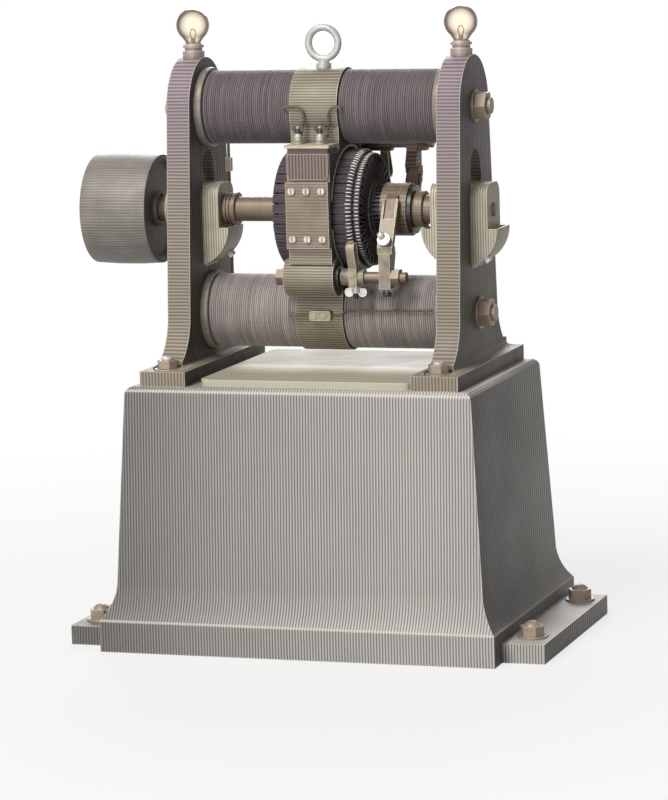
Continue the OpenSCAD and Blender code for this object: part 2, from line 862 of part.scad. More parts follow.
module field_leads() {
    z = shelf_z + spacer_t + board_t + 8;
    up = core_pitch;
    clear = 1.5;
    post_side = 9.2;
    over = band_r + 5.5;
    color("khaki") at_shaft() {
        // from the upper left coil over the edge of the band and down to the left post
        lead([[pole_x0 - 10, -coil_r - clear, up + 2], [pole_x0 - 8, -coil_r - 7, up + 3], [pole_x0 - 1, -over, up + 5],
            [pole_x0 + 9, -over, up + 5], [post_x[0] - 4, -over, up + 3], [post_x[0] + 3, -over, up - 4], [post_x[0] + 4, -over, up - 14],
            [post_x[0] + 3, -over, up - 27], [post_x[0] + 1, -over - 1, z + 12], [post_x[0], post_y + post_side + 4, z + 4],
            [post_x[0], post_y + post_side, z]], lead_r, [0.45, 0.25, 0.85]);
        // from the upper right coil over the edge of the band and down to the right post
        lead([[pole_x1 + 10, -coil_r - clear, up + 1], [pole_x1 + 8, -coil_r - 7, up + 2], [pole_x1 + 1, -over, up + 4],
            [post_x[1] + 16, -over, up + 2], [post_x[1] + 10, -over, up - 6], [post_x[1] + 9, -over, up - 22],
            [post_x[1] + 9, -over, z + 14], [post_x[1] + 9, -over - 2, z + 6], [post_x[1] + 8.2, post_y + 7.5, z + 1.5],
            [post_x[1] + 7, post_y + 5.8, z + 0.5]], lead_r, [-0.45, 0.25, 0.85]);
        // from the lower connector to both lower coils
        lead([[pole_mid - 8, -band_r - 8, -up + 1], [pole_mid - 22, -band_r - 8, -up + 1], [pole_x0 - 2, -band_r - 7, -up + 2],
            [pole_x0 - 9, -coil_r - 6, -up + 3], [pole_x0 - 10, -coil_r - clear, -up + 3]], lead_r, [0, 0, 1]);
        lead([[pole_mid + 22, -band_r - 8, -up + 1], [pole_mid + 33, -band_r - 8, -up + 1], [pole_x1 + 3, -band_r - 6, -up + 4],
            [pole_x1 + 10, -coil_r - 7, -up + 8], [face_in / 2, -coil_r - 5, -up + 9.5], [face_in - cheek_t - 24, -coil_r - 5, -up + 11],
            [face_in - cheek_t - 12, -coil_r - 5, -up + 11.5], [face_in - cheek_t - 9, -coil_r - clear, -up + 11.5]], lead_r, [0, 0, 1]);
        // between the two left coils, behind the shaft
        lead([[link_x, link_y, up - link_end], [link_x, link_y, 0], [link_x, link_y, -up + link_end]], lead_r, [1, 0, 0]);
    }
}

// The lower connector from the front: a block with round ends and two screws
module connector_block() {
    z = -core_pitch + 1;
    x0 = pole_mid - 12 + connector_r;
    x1 = pole_mid + 26 - connector_r;
    along_y(-band_r - 14, -band_r + 3) {
        translate([x0, z - connector_h / 2]) square([x1 - x0, connector_h]);
        for (x = [x0, x1]) {
            translate([x - connector_r, z - connector_h / 2 + connector_r]) square([2 * connector_r, connector_h - 2 * connector_r]);
            for (side = [-1, 1]) {
                translate([x, z + side * (connector_h / 2 - connector_r)]) circle(r = connector_r);
            }
        }
    }
}

module field_connector() {
    up = core_pitch;
    z = -up + 1;
    color("gold") at_shaft() {
        difference() {
            union() {
                connector_block();
                for (x = [pole_mid - 3.5, pole_mid + 13]) {
                    bar_y(-band_r - 17, -band_r - 13, screw_r, x, z);
                }
            }
            for (x = [pole_mid - 3.5, pole_mid + 13]) {
                box(x - 0.8, x + 0.8, -band_r - 18, -band_r - 15.4, z - screw_r - 1, z + screw_r + 1);
            }
            bar_x(pole_mid - 13, pole_mid - 7, lead_r + lead_clear, -band_r - 8, z);
            bar_x(pole_mid + 21, pole_mid + 27, lead_r + lead_clear, -band_r - 8, z);
            bar_x(pole_x0 - 1, pole_x1 + 1, band_r, 0, -up);
        }
        difference() {
            box(link_x - 5, link_x + 5, link_y - 5, link_y + 5, 62, 86);
            bar_z(60, 88, lead_r + lead_clear, link_x, link_y);
        }
    }
}

module lifting_eye() {
    z = core_pitch + band_r;
    color("silver") at_shaft() translate([pole_mid, 0, z]) {
        bar_z(-eye_stem, 1, eye_stem_r);
        bar_z(-eye_seat, 8, eye_base_r);
        bar_z(7, 13, eye_base_r - 3);
        translate([0, 0, 13 + eye_r + eye_bar_r - 4]) rotate([90, 0, 0]) rotate_extrude($fn = 96) translate([eye_r, 0]) circle(r = eye_bar_r, $fn = 32);
    }
}

// Bearings

module block_side() {
    r = block_round;
    intersection() {
        union() {
            box(0, block_out, -block_half, block_half, -block_low, block_top - r);
            box(0, block_out, -block_half + r, block_half - r, -block_low, block_top);
            for (t = [-1, 1]) {
                bar_x(0, block_out, r, t * (block_half - r), block_top - r);
            }
            box(0, cup_out, -block_half, block_half, -block_low, -ledge_drop);
        }
        union() {
            bar_y(-block_half - 1, block_half + 1, cup_r, cup_out - cup_r, -ledge_drop);
            box(-1, block_out + 1, -block_half - 1, block_half + 1, -ledge_drop - 1, block_top + 1);
        }
    }
}

// Square to the round underside of an oil cup, where its drain plug sits
module at_plug(y) {
    translate([stand_t / 2 + cup_out - cup_r, y, -ledge_drop]) rotate([0, 90 + plug_a, 0]) children();
}

// Hollow and plug hole of one oil cup, and the flat that the plug seats on
module cup_cuts(y) {
    x = stand_t / 2;
    box(x + cup_x0, x + cup_x1, -block_half + 6, block_half - 6, -ledge_drop - cup_depth, -ledge_drop + 1);
    at_plug(y) {
        bar_z(cup_r - plug_hole, cup_r + 1, plug_r);
        bar_z(cup_r - plug_seat, cup_r + 12, 9.5);
    }
}

// A block with a cup inside; outside it has a second cup and an end wall, or only a round boss
module bearing_block(outer_cup) {
    l = stand_t / 2 + block_out;
    difference() {
        union() {
            if (outer_cup) {
                translate([stand_t / 2, 0, 0]) block_side();
            } else {
                bar_x(stand_t / 2, l, bush_r + boss_wall);
            }
            translate([-stand_t / 2, 0, 0]) mirror([1, 0, 0]) block_side();
            box(-stand_t / 2 - 1, stand_t / 2 + 1, -slot_half, slot_half, -block_low, block_top);
        }
        bar_x(-l - 9, outer_cup ? l - end_wall : l + 9, bush_r);
        bar_x(0, l + 9, tail_r + 0.3);
        bar_z(0, block_top + 9, 5);
        mirror([1, 0, 0]) cup_cuts(plug_y);
        if (outer_cup) {
            cup_cuts(-plug_y);
        }
    }
}

module left_bearing_block() {
    color("lightgray") at_shaft() translate([-stand_x, 0, 0]) mirror([1, 0, 0]) bearing_block(false);
}

module right_bearing_block() {
    color("lightgray") at_shaft() translate([stand_x, 0, 0]) bearing_block(true);
}

module bearing_bushes() {
    l = stand_t / 2 + block_out;
    color("gold") at_shaft() for (s = [-1, 1]) {
        x1 = s * stand_x + l - (s > 0 ? end_wall : 0);
        difference() {
            bar_x(s * stand_x - l, x1, bush_r);
            bar_x(s * stand_x - l - 1, x1 + 1, shaft_r + run_clear);
            bar_z(0, bush_r + 9, 3, s * stand_x);
        }
    }
}

module drain_plug(y) {
    at_plug(y) {
        bar_z(cup_r - plug_hole, cup_r, plug_r);
        translate([0, 0, cup_r - plug_seat]) cylinder(h = 9, r = 8, $fn = 6);
    }
}

module drain_plugs() {
    color("peru") at_shaft() {
        translate([-stand_x, 0, 0]) drain_plug(plug_y);
        translate([stand_x, 0, 0]) {
            mirror([1, 0, 0]) drain_plug(plug_y);
            drain_plug(-plug_y);
        }
    }
}

// Lamps

module lamp_holders() {
    z = shaft_z + core_pitch + stand_top_r;
    color("burlywood") for (s = [-1, 1]) {
        translate([s * stand_x, 0, z]) difference() {
            union() {
                bar_z(-lamp_stem, 2, lamp_stem_r);
                bar_z(-lamp_seat, 11, lamp_base_r);
                bar_z(10, lamp_socket_z + 4, bulb_neck_r + 2.5);
                bar_z(lamp_socket_z - 3, lamp_socket_z + 1.5, lamp_base_r - 0.5);
            }
            bar_z(lamp_socket_z, lamp_socket_z + 5, bulb_neck_r + 0.3);
        }
    }
}

module bulb_form(r, neck_r, z0) {
    bar_z(z0, lamp_socket_z + 6, neck_r);
    translate([0, 0, lamp_socket_z + 5.5]) cylinder(h = bulb_z - lamp_socket_z - 5.5 - r * 0.62, r1 = neck_r, r2 = r * 0.75);
    translate([0, 0, bulb_z]) sphere(r = r);
}

module lamp_bulbs() {
    z = shaft_z + core_pitch + stand_top_r;
    color("lightyellow") for (s = [-1, 1]) {
        translate([s * stand_x, 0, z]) difference() {
            bulb_form(bulb_r, bulb_neck_r, lamp_socket_z);
            bulb_form(bulb_r - bulb_wall, bulb_neck_r - bulb_wall, lamp_socket_z + bulb_wall);
        }
    }
}

module lamp_filaments() {
    z = shaft_z + core_pitch + stand_top_r;
    color("orange") for (s = [-1, 1]) {
        translate([s * stand_x, 0, z]) {
            bar_z(lamp_socket_z + bulb_wall, lamp_socket_z + bulb_wall + 4, bulb_neck_r - bulb_wall - 1);
            bar_z(lamp_socket_z + bulb_wall + 3, 34, 4);
            for (t = [-1, 1]) {
                jointed_wire([[t * 2, 0, 33], [t * 5, 0, 39], [t * 5, 0, 44], [t * 2.5, 0, 48.5], [0, 0, 49.5]], 1);
            }
        }
    }
}

// Rotor, drawn from the shaft

module shaft() {
    right = face_out + block_out - end_wall - 1;
    left = pulley_x0 - 6;
    tail_l = face_out + block_out + tail_out - right;
    dome_steps = 6;
    color("peru") at_shaft() difference() {
        union() {
            bar_x(left, right, shaft_r);
            // tail with a low dome, through the end wall of the right block
            translate([right, 0, 0]) rotate([90, 0, 90]) rotate_extrude() polygon(concat([[0, -1], [tail_r, -1]],
                [for (k = [0 : dome_steps]) let (a = 90 * k / dome_steps) [tail_r * cos(a), tail_l + tail_rise * sin(a)]]));
        }
        box(pulley_x0 + 10, pulley_x1 - 10, -key_w / 2, key_w / 2, shaft_r - key_h, shaft_r + 1);
    }
}

module tube_x(x0, x1, r, ri) {
    difference() {
        bar_x(x0, x1, r);
        bar_x(x0 - 1, x1 + 1, ri);
    }
}

module armature_core() {
    color("gray") at_shaft() tube_x(arm_x0 + wind_t, arm_x1 - wind_t, iron_r, iron_ri);
}

module armature_hub() {
    color("sienna") at_shaft() tube_x(arm_x0 + 6, arm_x1 - 6, arm_ri, shaft_r);
}

module sector_x(x0, r, ri, w, a, a0) {
    translate([x0, 0, 0]) rotate([a0, 0, 0]) rotate([90, 0, 90]) rotate_extrude(angle = a) translate([ri, 0]) square([r - ri, w]);
}

module armature_winding() {
    step = 360 / sections;
    color("saddlebrown") at_shaft() difference() {
        for (i = [0 : sections - 1]) {
            sector_x(arm_x0, arm_r, arm_ri, arm_l, step * 0.86, i * step);
        }
        tube_x(arm_x0 + wind_t, arm_x1 - wind_t, iron_r, iron_ri);
    }
}

module commutator_bars() {
    step = 360 / sections;
    tie_r = arm_r - 9;
    color("orange") at_shaft() for (i = [0 : sections - 1]) {
        sector_x(comm_x0, comm_r, comm_ri, comm_l, step * 0.9, i * step);
        sector_x(riser_x0, comm_r - 2, comm_ri + 1, comm_x0 - riser_x0 + 2, step * 0.6, (i + 0.15) * step);
        sector_x(riser_x0 + 1, tie_r, comm_r - 5, riser_x1 - riser_x0 - 1, step * 0.44, (i + 0.23) * step);
        sector_x(arm_x1, tie_r - 1, tie_r - 8, riser_x0 - arm_x1 + 3, step * 0.36, (i + 0.27) * step);
    }
}

module commutator_sleeve() {
    color("black") at_shaft() difference() {
        union() {
            bar_x(arm_x1 - 6, comm_x1 + 2, comm_ri);
            bar_x(comm_x1, comm_x1 + 7, comm_r - 4);
        }
        bar_x(arm_x1 - 7, comm_x1 + 9, shaft_r);
    }
}

module pulley() {
    edge_r = pulley_r - pulley_crown;
    inner_r = pulley_r - pulley_rim;
    web_x = pulley_x1 - pulley_recess - pulley_web;
    color("darkkhaki") at_shaft() difference() {
        union() {
            translate([pulley_x0, 0, 0]) rotate([90, 0, 90]) rotate_extrude() polygon([[inner_r, 0], [edge_r, 0],
                [pulley_r, pulley_w / 3], [pulley_r, pulley_w * 2 / 3], [edge_r, pulley_w], [inner_r, pulley_w]]);
            bar_x(pulley_x0 + 8, pulley_x1 - 2, pulley_hub_r);
            bar_x(web_x, web_x + pulley_web, inner_r + 1);
        }
        bar_x(pulley_x0 - 1, pulley_x1 + 1, shaft_r);
        box(pulley_x0 - 1, pulley_x1 + 1, -key_w / 2, key_w / 2, 0, shaft_r + key_h);
    }
}

module pulley_key() {
    color("silver") at_shaft() box(pulley_x0 + 10, pulley_x1 - 10, -key_w / 2, key_w / 2, shaft_r - key_h, shaft_r + key_h);
}

module shaft_collars() {
    left = -face_in + block_out + collar_gap;
    right = face_in - block_out - collar_gap;
    cup_left = -face_in + cup_out + cup_clear;
    cup_right = face_in - cup_out - cup_clear;
    color("silver") at_shaft() difference() {
        union() {
            bar_x(left, cup_left + 1, collar_r - 3);
            for (k = [0 : 2]) {
                bar_x(left + 4 + 6 * k, left + 7 + 6 * k, collar_r);
            }
            bar_x(cup_left, cup_left + 5, flinger_r - 3);
            bar_x(comm_x1 + 7, cup_right, flinger_r);
            bar_x(cup_right - 1, right, collar_r - 3);
        }
        bar_x(left - 1, cup_left + 9, shaft_r);
        bar_x(comm_x1 + 5, right + 1, shaft_r);
    }
}

// Brush gear at the front, drawn from the shaft; the rear one is the same, half a turn round

module spindle_bushes() {
    color("black") at_shaft() for (a = [0, 180]) {
        rotate([a, 0, 0]) translate([0, -spindle_y, -spindle_z]) difference() {
            union() {
                bar_x(boss_x0, boss_x1, bush_hole_r);
                bar_x(boss_x1, boss_x1 + 5, bush_hole_r + 6);
                bar_x(boss_x0 - 3, boss_x0, bush_hole_r + 6);
            }
            bar_x(boss_x0 - 9, boss_x1 + 9, spindle_r + run_clear);
        }
    }
}

module brush_spindle() {
    translate([0, -spindle_y, -spindle_z]) {
        hex_x(boss_x0 - 3.4 - head_h, boss_x0 - 3.4, 16);
        bar_x(boss_x0 - 4, spindle_x1, spindle_r);
        hex_x(arm_c + arm_width / 2, arm_c + arm_width / 2 + 15, 16);
    }
}

module tilt() {
    rotate([-brush_lean, 0, 0]) children();
}

module brush_arm() {
    y = -spindle_y;
    z = -spindle_z;
    x0 = arm_c - arm_width / 2;
    x1 = arm_c + arm_width / 2;
    half = brush_w / 2;
    difference() {
        union() {
            // sleeve with the spring and wing nut
            bar_x(sleeve_x0, sleeve_x1, sleeve_r, y, z);
            bar_z(wing_z - 22, z, wing_stud_r, loop_mid, y);
            // lever from the spindle to the clamp block
            along_x(x0, x1) polygon([[y - 13, z - 19], [y + 13, z - 19], [y + 13, z + 14], [y + 24, clamp_low + 1],
                [y - 13, clamp_low + 1]]);
            bar_z(z - 26, z - 18, 5, arm_c, y);
            bar_z(z - 33, z - 25, 7, arm_c, y);
            box(x0 - 3, x1 + 3, y - 9, y + 11, clamp_low, clamp_top);
            // channel that holds the brush
            tilt() box(arm_c - half - holder_side, arm_c + half + holder_side, holder_face, brush_back - 1.5, brush_low, holder_top);
            tilt() bar_y(holder_face - 4, holder_face + 1, 7, arm_c, thumb_s);
        }
        bar_x(sleeve_x0 - 1, spindle_x1, spindle_r, y, z);
        tilt() {
            box(arm_c - half, arm_c + half, brush_front, brush_back + 9, brush_low, brush_tip + 1);
            box(arm_c - half, arm_c + half, holder_face - 1, brush_front + 1, cover_top, holder_top + 1);
            bar_y(holder_face - 9, brush_front + 1, 3, arm_c, thumb_s);
        }
    }
}

module brush() {
    tilt() along_x(arm_c - brush_w / 2, arm_c + brush_w / 2)
        polygon([[brush_front, brush_low], [brush_back, brush_low], [brush_back, brush_tip], [brush_back - 3, brush_tip],
            [brush_front, brush_tip - 10]]);
}

module loop_spring_outline() {
    h = strap_t / 2;
    front = -spindle_y - sleeve_r - strap_t;
    low = -spindle_z - 17;
    straight = -spindle_z + 17;
    difference() {
        translate([bend_y, bend_z]) circle(r = bend_r + h);
        translate([bend_y, bend_z]) circle(r = bend_r - h);
        translate([bend_y - 2 * bend_r, bend_z - 2 * bend_r]) square([4 * bend_r, 2 * bend_r]);
    }
    polygon([[bend_y - bend_r - h, bend_z + 0.01], [bend_y - bend_r + h, bend_z + 0.01], [front + strap_t, straight],
        [front + strap_t, low], [front, low], [front, straight]]);
    polygon([[bend_y + bend_r - h, bend_z + 0.01], [bend_y + bend_r + h, bend_z + 0.01],
        [-spindle_y - 2, -spindle_z + 12], [-spindle_y - 2 - strap_t, -spindle_z + 12]]);
    // foot that seats the strap on the sleeve
    translate([front + strap_t - 0.5, -spindle_z - 9]) square([4.5, 18]);
}

module loop_spring() {
    y = -spindle_y - sleeve_r - strap_t;
    difference() {
        along_x(loop_mid - strap_w / 2, loop_mid + strap_w / 2) loop_spring_outline();
        bar_x(loop_mid - strap_w, loop_mid + strap_w, sleeve_r, -spindle_y, -spindle_z);
    }
    for (k = [-8, 7]) {
        bar_y(y - 3, y + 1, 3.5, loop_mid, -spindle_z + k);
    }
}

module thumb_screw() {
    boss = holder_face - 4;
    tilt() {
        bar_y(boss - 8, brush_front - 0.3, 3 - run_clear, arm_c, thumb_s);
        bar_y(boss - knob_gap - 7, boss - knob_gap, knob_r, arm_c, thumb_s);
        translate([arm_c - 4.5, boss - knob_gap - 10, thumb_s + 5.5]) sphere(r = 6.5);
    }
}

module wing_nut() {
    translate([loop_mid, -spindle_y, wing_z]) difference() {
        union() {
            bar_z(-12, -0.3, 8);
            intersection() {
                box(-20, 20, -2.5, 2.5, -19, -4);
                union() {
                    bar_y(-3, 3, 8, -12, -11);
                    bar_y(-3, 3, 8, 12, -11);
                    box(-12, 12, -3, 3, -11, -4);
                }
            }
        }
        bar_z(-23, 1, wing_stud_r + run_clear);
    }
}

module front_brush_spindle() {
    color("peru") at_shaft() brush_spindle();
}

module front_brush_arm() {
    color("gold") at_shaft() brush_arm();
}

module front_brush() {
    color("orange") at_shaft() brush();
}

module front_loop_spring() {
    color("tan") at_shaft() loop_spring();
}

module front_thumb_screw() {
    color("peru") at_shaft() thumb_screw();
}

module front_wing_nut() {
    color("peru") at_shaft() wing_nut();
}

module rear_brush_spindle() {
    color("peru") at_shaft() half_turn() brush_spindle();
}

module rear_brush_arm() {
    color("gold") at_shaft() half_turn() brush_arm();
}

module rear_brush() {
    color("orange") at_shaft() half_turn() brush();
}

module rear_loop_spring() {
    color("tan") at_shaft() half_turn() loop_spring();
}

module rear_thumb_screw() {
    color("peru") at_shaft() half_turn() thumb_screw();
}

module rear_wing_nut() {
    color("peru") at_shaft() half_turn() wing_nut();
}

pedestal();
drip_plate();
left_standard();
right_standard();
foot_studs();
foot_nuts();
floor_nuts();
washers();
upper_field_core();
lower_field_core();
core_nuts();
upper_left_bobbin();
upper_right_bobbin();
lower_left_bobbin();
lower_right_bobbin();
upper_left_coil();
upper_right_coil();
lower_left_coil();
lower_right_coil();
upper_pole_piece();
lower_pole_piece();
front_bridge_plate();
rear_bridge_plate();
bridge_screws();
terminal_board();
binding_posts();
left_terminal_nut();
right_terminal_nut();
field_leads();
field_connector();
lifting_eye();
left_bearing_block();
right_bearing_block();
bearing_bushes();
drain_plugs();
lamp_holders();
lamp_bulbs();
lamp_filaments();
spindle_bushes();
shaft();
armature_core();
armature_hub();
armature_winding();
commutator_bars();
commutator_sleeve();
pulley();
pulley_key();
shaft_collars();
front_brush_spindle();
front_brush_arm();
front_brush();
front_loop_spring();
front_thumb_screw();
front_wing_nut();
rear_brush_spindle();
rear_brush_arm();
rear_brush();
rear_loop_spring();
rear_thumb_screw();
rear_wing_nut();
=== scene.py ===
"""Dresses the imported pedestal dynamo: finishes, fine windings, twisted leads, floor, light and camera."""

import json
import math

import bpy
import numpy as np
from mathutils import Matrix, Vector


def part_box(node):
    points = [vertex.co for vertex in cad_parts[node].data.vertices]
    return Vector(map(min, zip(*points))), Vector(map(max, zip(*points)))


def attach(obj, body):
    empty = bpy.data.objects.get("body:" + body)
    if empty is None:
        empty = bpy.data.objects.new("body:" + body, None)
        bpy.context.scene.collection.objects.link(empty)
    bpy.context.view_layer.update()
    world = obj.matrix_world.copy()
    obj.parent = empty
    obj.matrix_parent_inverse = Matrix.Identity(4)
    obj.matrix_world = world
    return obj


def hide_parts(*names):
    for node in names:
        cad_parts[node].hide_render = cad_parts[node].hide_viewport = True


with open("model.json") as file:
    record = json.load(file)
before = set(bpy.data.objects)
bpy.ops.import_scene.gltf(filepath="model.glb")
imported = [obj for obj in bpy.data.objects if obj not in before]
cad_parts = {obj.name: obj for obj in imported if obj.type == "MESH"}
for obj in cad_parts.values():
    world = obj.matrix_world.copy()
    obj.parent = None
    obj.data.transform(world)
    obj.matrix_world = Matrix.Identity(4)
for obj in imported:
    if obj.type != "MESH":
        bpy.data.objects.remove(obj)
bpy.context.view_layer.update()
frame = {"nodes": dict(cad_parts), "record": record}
nodes = frame["nodes"]

# Photograph and camera

PHOTO_W = 668
FOCAL_PX = 3700.0
SENSOR_MM = 36.0
CAMERA_AZIMUTH = math.radians(18.6)
CAMERA_ELEVATION = math.radians(8.4)
CAMERA_ROLL = math.radians(1.65)
CAMERA_TARGET = Vector((-0.0035, 0.0, 0.4105))
CAMERA_DISTANCE = 6.512
CAMERA_REACH = 60.0

# Height of the shaft's axis

SHAFT_Z = (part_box("shaft")[0][2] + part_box("shaft")[1][2]) / 2

# Where one finish gives way to another within a node: the two ends of each soft edge, in metres

PAD_FACE_Y = (0.1163, 0.1168)
# The pale ring at the edge of the poles' bore is a painted highlight.
BORE_EDGE_R = (0.1132, 0.1142)
SPACER_TOP = (0.1158, 0.1162)
SET_SCREW_DROP = (0.133, 0.1345)
COMMUTATOR_NECK_X = (0.103, 0.104)
RISER_R = (0.048, 0.051)


def make_camera():
    """A long lens in front and to the right, as the photograph looks at the machine."""
    az, el, roll = CAMERA_AZIMUTH, CAMERA_ELEVATION, CAMERA_ROLL
    back = Vector((math.sin(az) * math.cos(el), -math.cos(az) * math.cos(el), math.sin(el)))
    right = Vector((math.cos(az), math.sin(az), 0.0))
    up = back.cross(right)
    rolled_right = math.cos(roll) * right - math.sin(roll) * up
    rolled_up = math.sin(roll) * right + math.cos(roll) * up
    data = bpy.data.cameras.new("camera")
    data.sensor_fit = "HORIZONTAL"
    data.sensor_width = SENSOR_MM
    data.lens = FOCAL_PX / PHOTO_W * SENSOR_MM
    data.clip_end = CAMERA_REACH
    camera = bpy.data.objects.new("camera", data)
    turn = Matrix((rolled_right, rolled_up, back)).transposed().to_4x4()
    camera.matrix_world = Matrix.Translation(CAMERA_TARGET + back * CAMERA_DISTANCE) @ turn
    bpy.context.scene.collection.objects.link(camera)
    bpy.context.scene.camera = camera


# Material helpers

MATERIALS = {}
WHITE = (1, 1, 1, 1)


def srgb(r, g, b):
    """A colour read as 0 to 255 screen values, in linear light."""
    def linear(v):
        v = v / 255.0
        return v / 12.92 if v <= 0.04045 else ((v + 0.055) / 1.055) ** 2.4
    return (linear(r), linear(g), linear(b), 1.0)


def shade(colour, factor):
    """The same colour, darker or lighter."""
    return (colour[0] * factor, colour[1] * factor, colour[2] * factor, 1.0)


def grey(value):
    """A neutral tone."""
    return (value, value, value, 1.0)


def add_node(tree, kind, inputs, **settings):
    """A new shader node; each of its inputs takes a plain value or another node's output."""
    node = tree.nodes.new("ShaderNode" + kind)
    for key, value in settings.items():
        setattr(node, key, value)
    for key, value in inputs.items():
        if hasattr(value, "is_output"):
            tree.links.new(value, node.inputs[key])
        else:
            node.inputs[key].default_value = value
    return node


class Shader:
    """One principled material with a few texture helpers, all in object coordinates (metres)."""

    def __init__(self, name, roughness=0.5, metallic=0.0, specular=0.5):
        material = bpy.data.materials.new(name)
        material.use_nodes = True
        MATERIALS[name] = material
        self.tree = material.node_tree
        self.bsdf = self.tree.nodes["Principled BSDF"]
        self.bsdf.inputs["Roughness"].default_value = roughness
        self.bsdf.inputs["Metallic"].default_value = metallic
        self.bsdf.inputs["Specular IOR Level"].default_value = specular
        self.coords = self.add("TexCoord", {}).outputs["Object"]

    def add(self, kind, inputs, **settings):
        """A new node in this material."""
        return add_node(self.tree, kind, inputs, **settings)

    def noise(self, scale, stretch=(1, 1, 1), detail=4.0, rough=0.55, distortion=0.0):
        """Cloudy noise, finer along an axis that is stretched more."""
        mapping = self.add("Mapping", {"Vector": self.coords, "Scale": stretch})
        texture = self.add("TexNoise", {"Vector": mapping.outputs["Vector"], "Scale": scale,
                                        "Detail": detail, "Roughness": rough, "Distortion": distortion})
        return texture.outputs["Fac"]

    def ramp(self, factor, stops):
        """Colours at places along a factor."""
        node = self.add("ValToRGB", {"Fac": factor})
        elements = node.color_ramp.elements
        while len(elements) < len(stops):
            elements.new(0.5)
        for element, (place, colour) in zip(elements, stops):
            element.position = place
            element.color = colour
        return node.outputs["Color"]

    def remap(self, value, source, target):
        """A value carried from one range to another, and held at its ends."""
        node = self.add("MapRange", {"Value": value, "From Min": source[0], "From Max": source[1],
                                     "To Min": target[0], "To Max": target[1]})
        return node.outputs["Result"]

    def rise(self, value, start, end):
        """0 up to start, 1 from end on."""
        return self.remap(value, (start, end), (0.0, 1.0))

    def vary(self, noise, low, high):
        """The middle of a noise, spread from low to high."""
        return self.remap(noise, (0.3, 0.7), (low, high))

    def mix(self, a, b, factor, mode="MIX"):
        """From one colour to another."""
        return self.add("Mix", {0: factor, 6: a, 7: b}, data_type="RGBA", blend_type=mode).outputs[2]

    def blend(self, a, b, factor):
        """From one value to another."""
        return self.add("Mix", {0: factor, 2: a, 3: b}).outputs[0]

    def stain(self, base, factor, stops, share=1.0):
        """A colour multiplied by greys along a factor."""
        greys = self.ramp(factor, [(place, grey(value)) for place, value in stops])
        return self.mix(base, greys, share, "MULTIPLY")

    def math(self, operation, a, b=0.0):
        """One step of arithmetic."""
        return self.add("Math", {0: a, 1: b}, operation=operation).outputs[0]

    def part(self, vector, axis):
        """One of a vector's three parts, by the name of its axis."""
        return self.add("SeparateXYZ", {0: vector}).outputs["xyz".index(axis)]

    def place(self, axis):
        """Where the surface lies along one axis."""
        return self.part(self.coords, axis)

    def over_shaft(self):
        """Height over the shaft's axis."""
        return self.math("SUBTRACT", self.place("z"), SHAFT_Z)

    def shaft_radius(self):
        """Distance from the shaft's axis."""
        y = self.place("y")
        z = self.over_shaft()
        squares = self.math("ADD", self.math("MULTIPLY", y, y), self.math("MULTIPLY", z, z))
        return self.math("SQRT", squares)

    def facing(self, axis):
        """How far the surface looks along one axis, from -1 to 1."""
        return self.part(self.add("NewGeometry", {}).outputs["True Normal"], axis)

    def upward(self):
        """1 on faces that look up."""
        return self.rise(self.facing("z"), 0.45, 1.0)

    def sideways(self):
        """1 on faces that look along X, 0 on those that look along Y or Z."""
        return self.rise(self.math("ABSOLUTE", self.facing("x")), 0.6, 0.8)

    def lines(self, along, pitch):
        """Fine even lines across one coordinate, a little unsteady as a tool or a brush leaves them."""
        drift = self.math("MULTIPLY", self.noise(18.0, detail=2.0), 0.25)
        turns = self.math("ADD", self.math("DIVIDE", along, pitch), drift)
        wave = self.math("SINE", self.math("MULTIPLY", turns, 2 * math.pi))
        return self.rise(wave, -1.0, 1.0)

    def hatch(self, axis, pitch):
        """Lines at a pitch along X, Y or Z in metres, or round the shaft in radians."""
        if axis == "round":
            return self.lines(self.math("ARCTAN2", self.place("y"), self.over_shaft()), pitch)
        return self.lines(self.place(axis), pitch)

    def faced_lines(self, axis, pitch, side_pitch):
        """Lines across one axis on front faces, and upright lines on side faces."""
        return self.blend(self.hatch(axis, pitch), self.hatch("y", side_pitch), self.sideways())

    def edges(self, radius):
        """1 on sharp edges, 0 on flat ground, from how far a rounded normal leaves the true one."""
        rounded = self.add("Bevel", {"Radius": radius}, samples=4).outputs["Normal"]
        true = self.add("NewGeometry", {}).outputs["True Normal"]
        dot = self.add("VectorMath", {0: rounded, 1: true}, operation="DOT_PRODUCT")
        return self.remap(dot.outputs["Value"], (0.80, 0.985), (1.0, 0.0))

    def tone_edges(self, base, edge_tone, radius, share):
        """A colour with its sharp edges turned to another tone: worn edges, and where that tone is pale a
        painted highlight too.
        """
        return self.mix(base, edge_tone, self.math("MULTIPLY", self.edges(radius), share))

    def bump(self, height, distance, strength):
        """A relief on top of those made before it."""
        inputs = {"Height": height, "Distance": distance, "Strength": strength}
        earlier = self.bsdf.inputs["Normal"].links
        if earlier:
            inputs["Normal"] = earlier[0].from_socket
        relief = self.add("Bump", inputs)
        self.tree.links.new(relief.outputs["Normal"], self.bsdf.inputs["Normal"])

    def colour(self, socket):
        """Sets the base colour."""
        self.tree.links.new(socket, self.bsdf.inputs["Base Color"])

    def roughness(self, socket):
        """Sets the roughness."""
        self.tree.links.new(socket, self.bsdf.inputs["Roughness"])


# Materials

# Pale edge tones: worn edges and a painted highlight.
WORN_HIGHLIT_EDGE = srgb(206, 200, 188)
BRASS_WORN_HIGHLIT_EDGE = srgb(210, 203, 180)
EVEN_THREAD = (160, 160, 160)
EVEN_MARKS = (240, 240, 240)
FOOT_EDGE = 0.0005


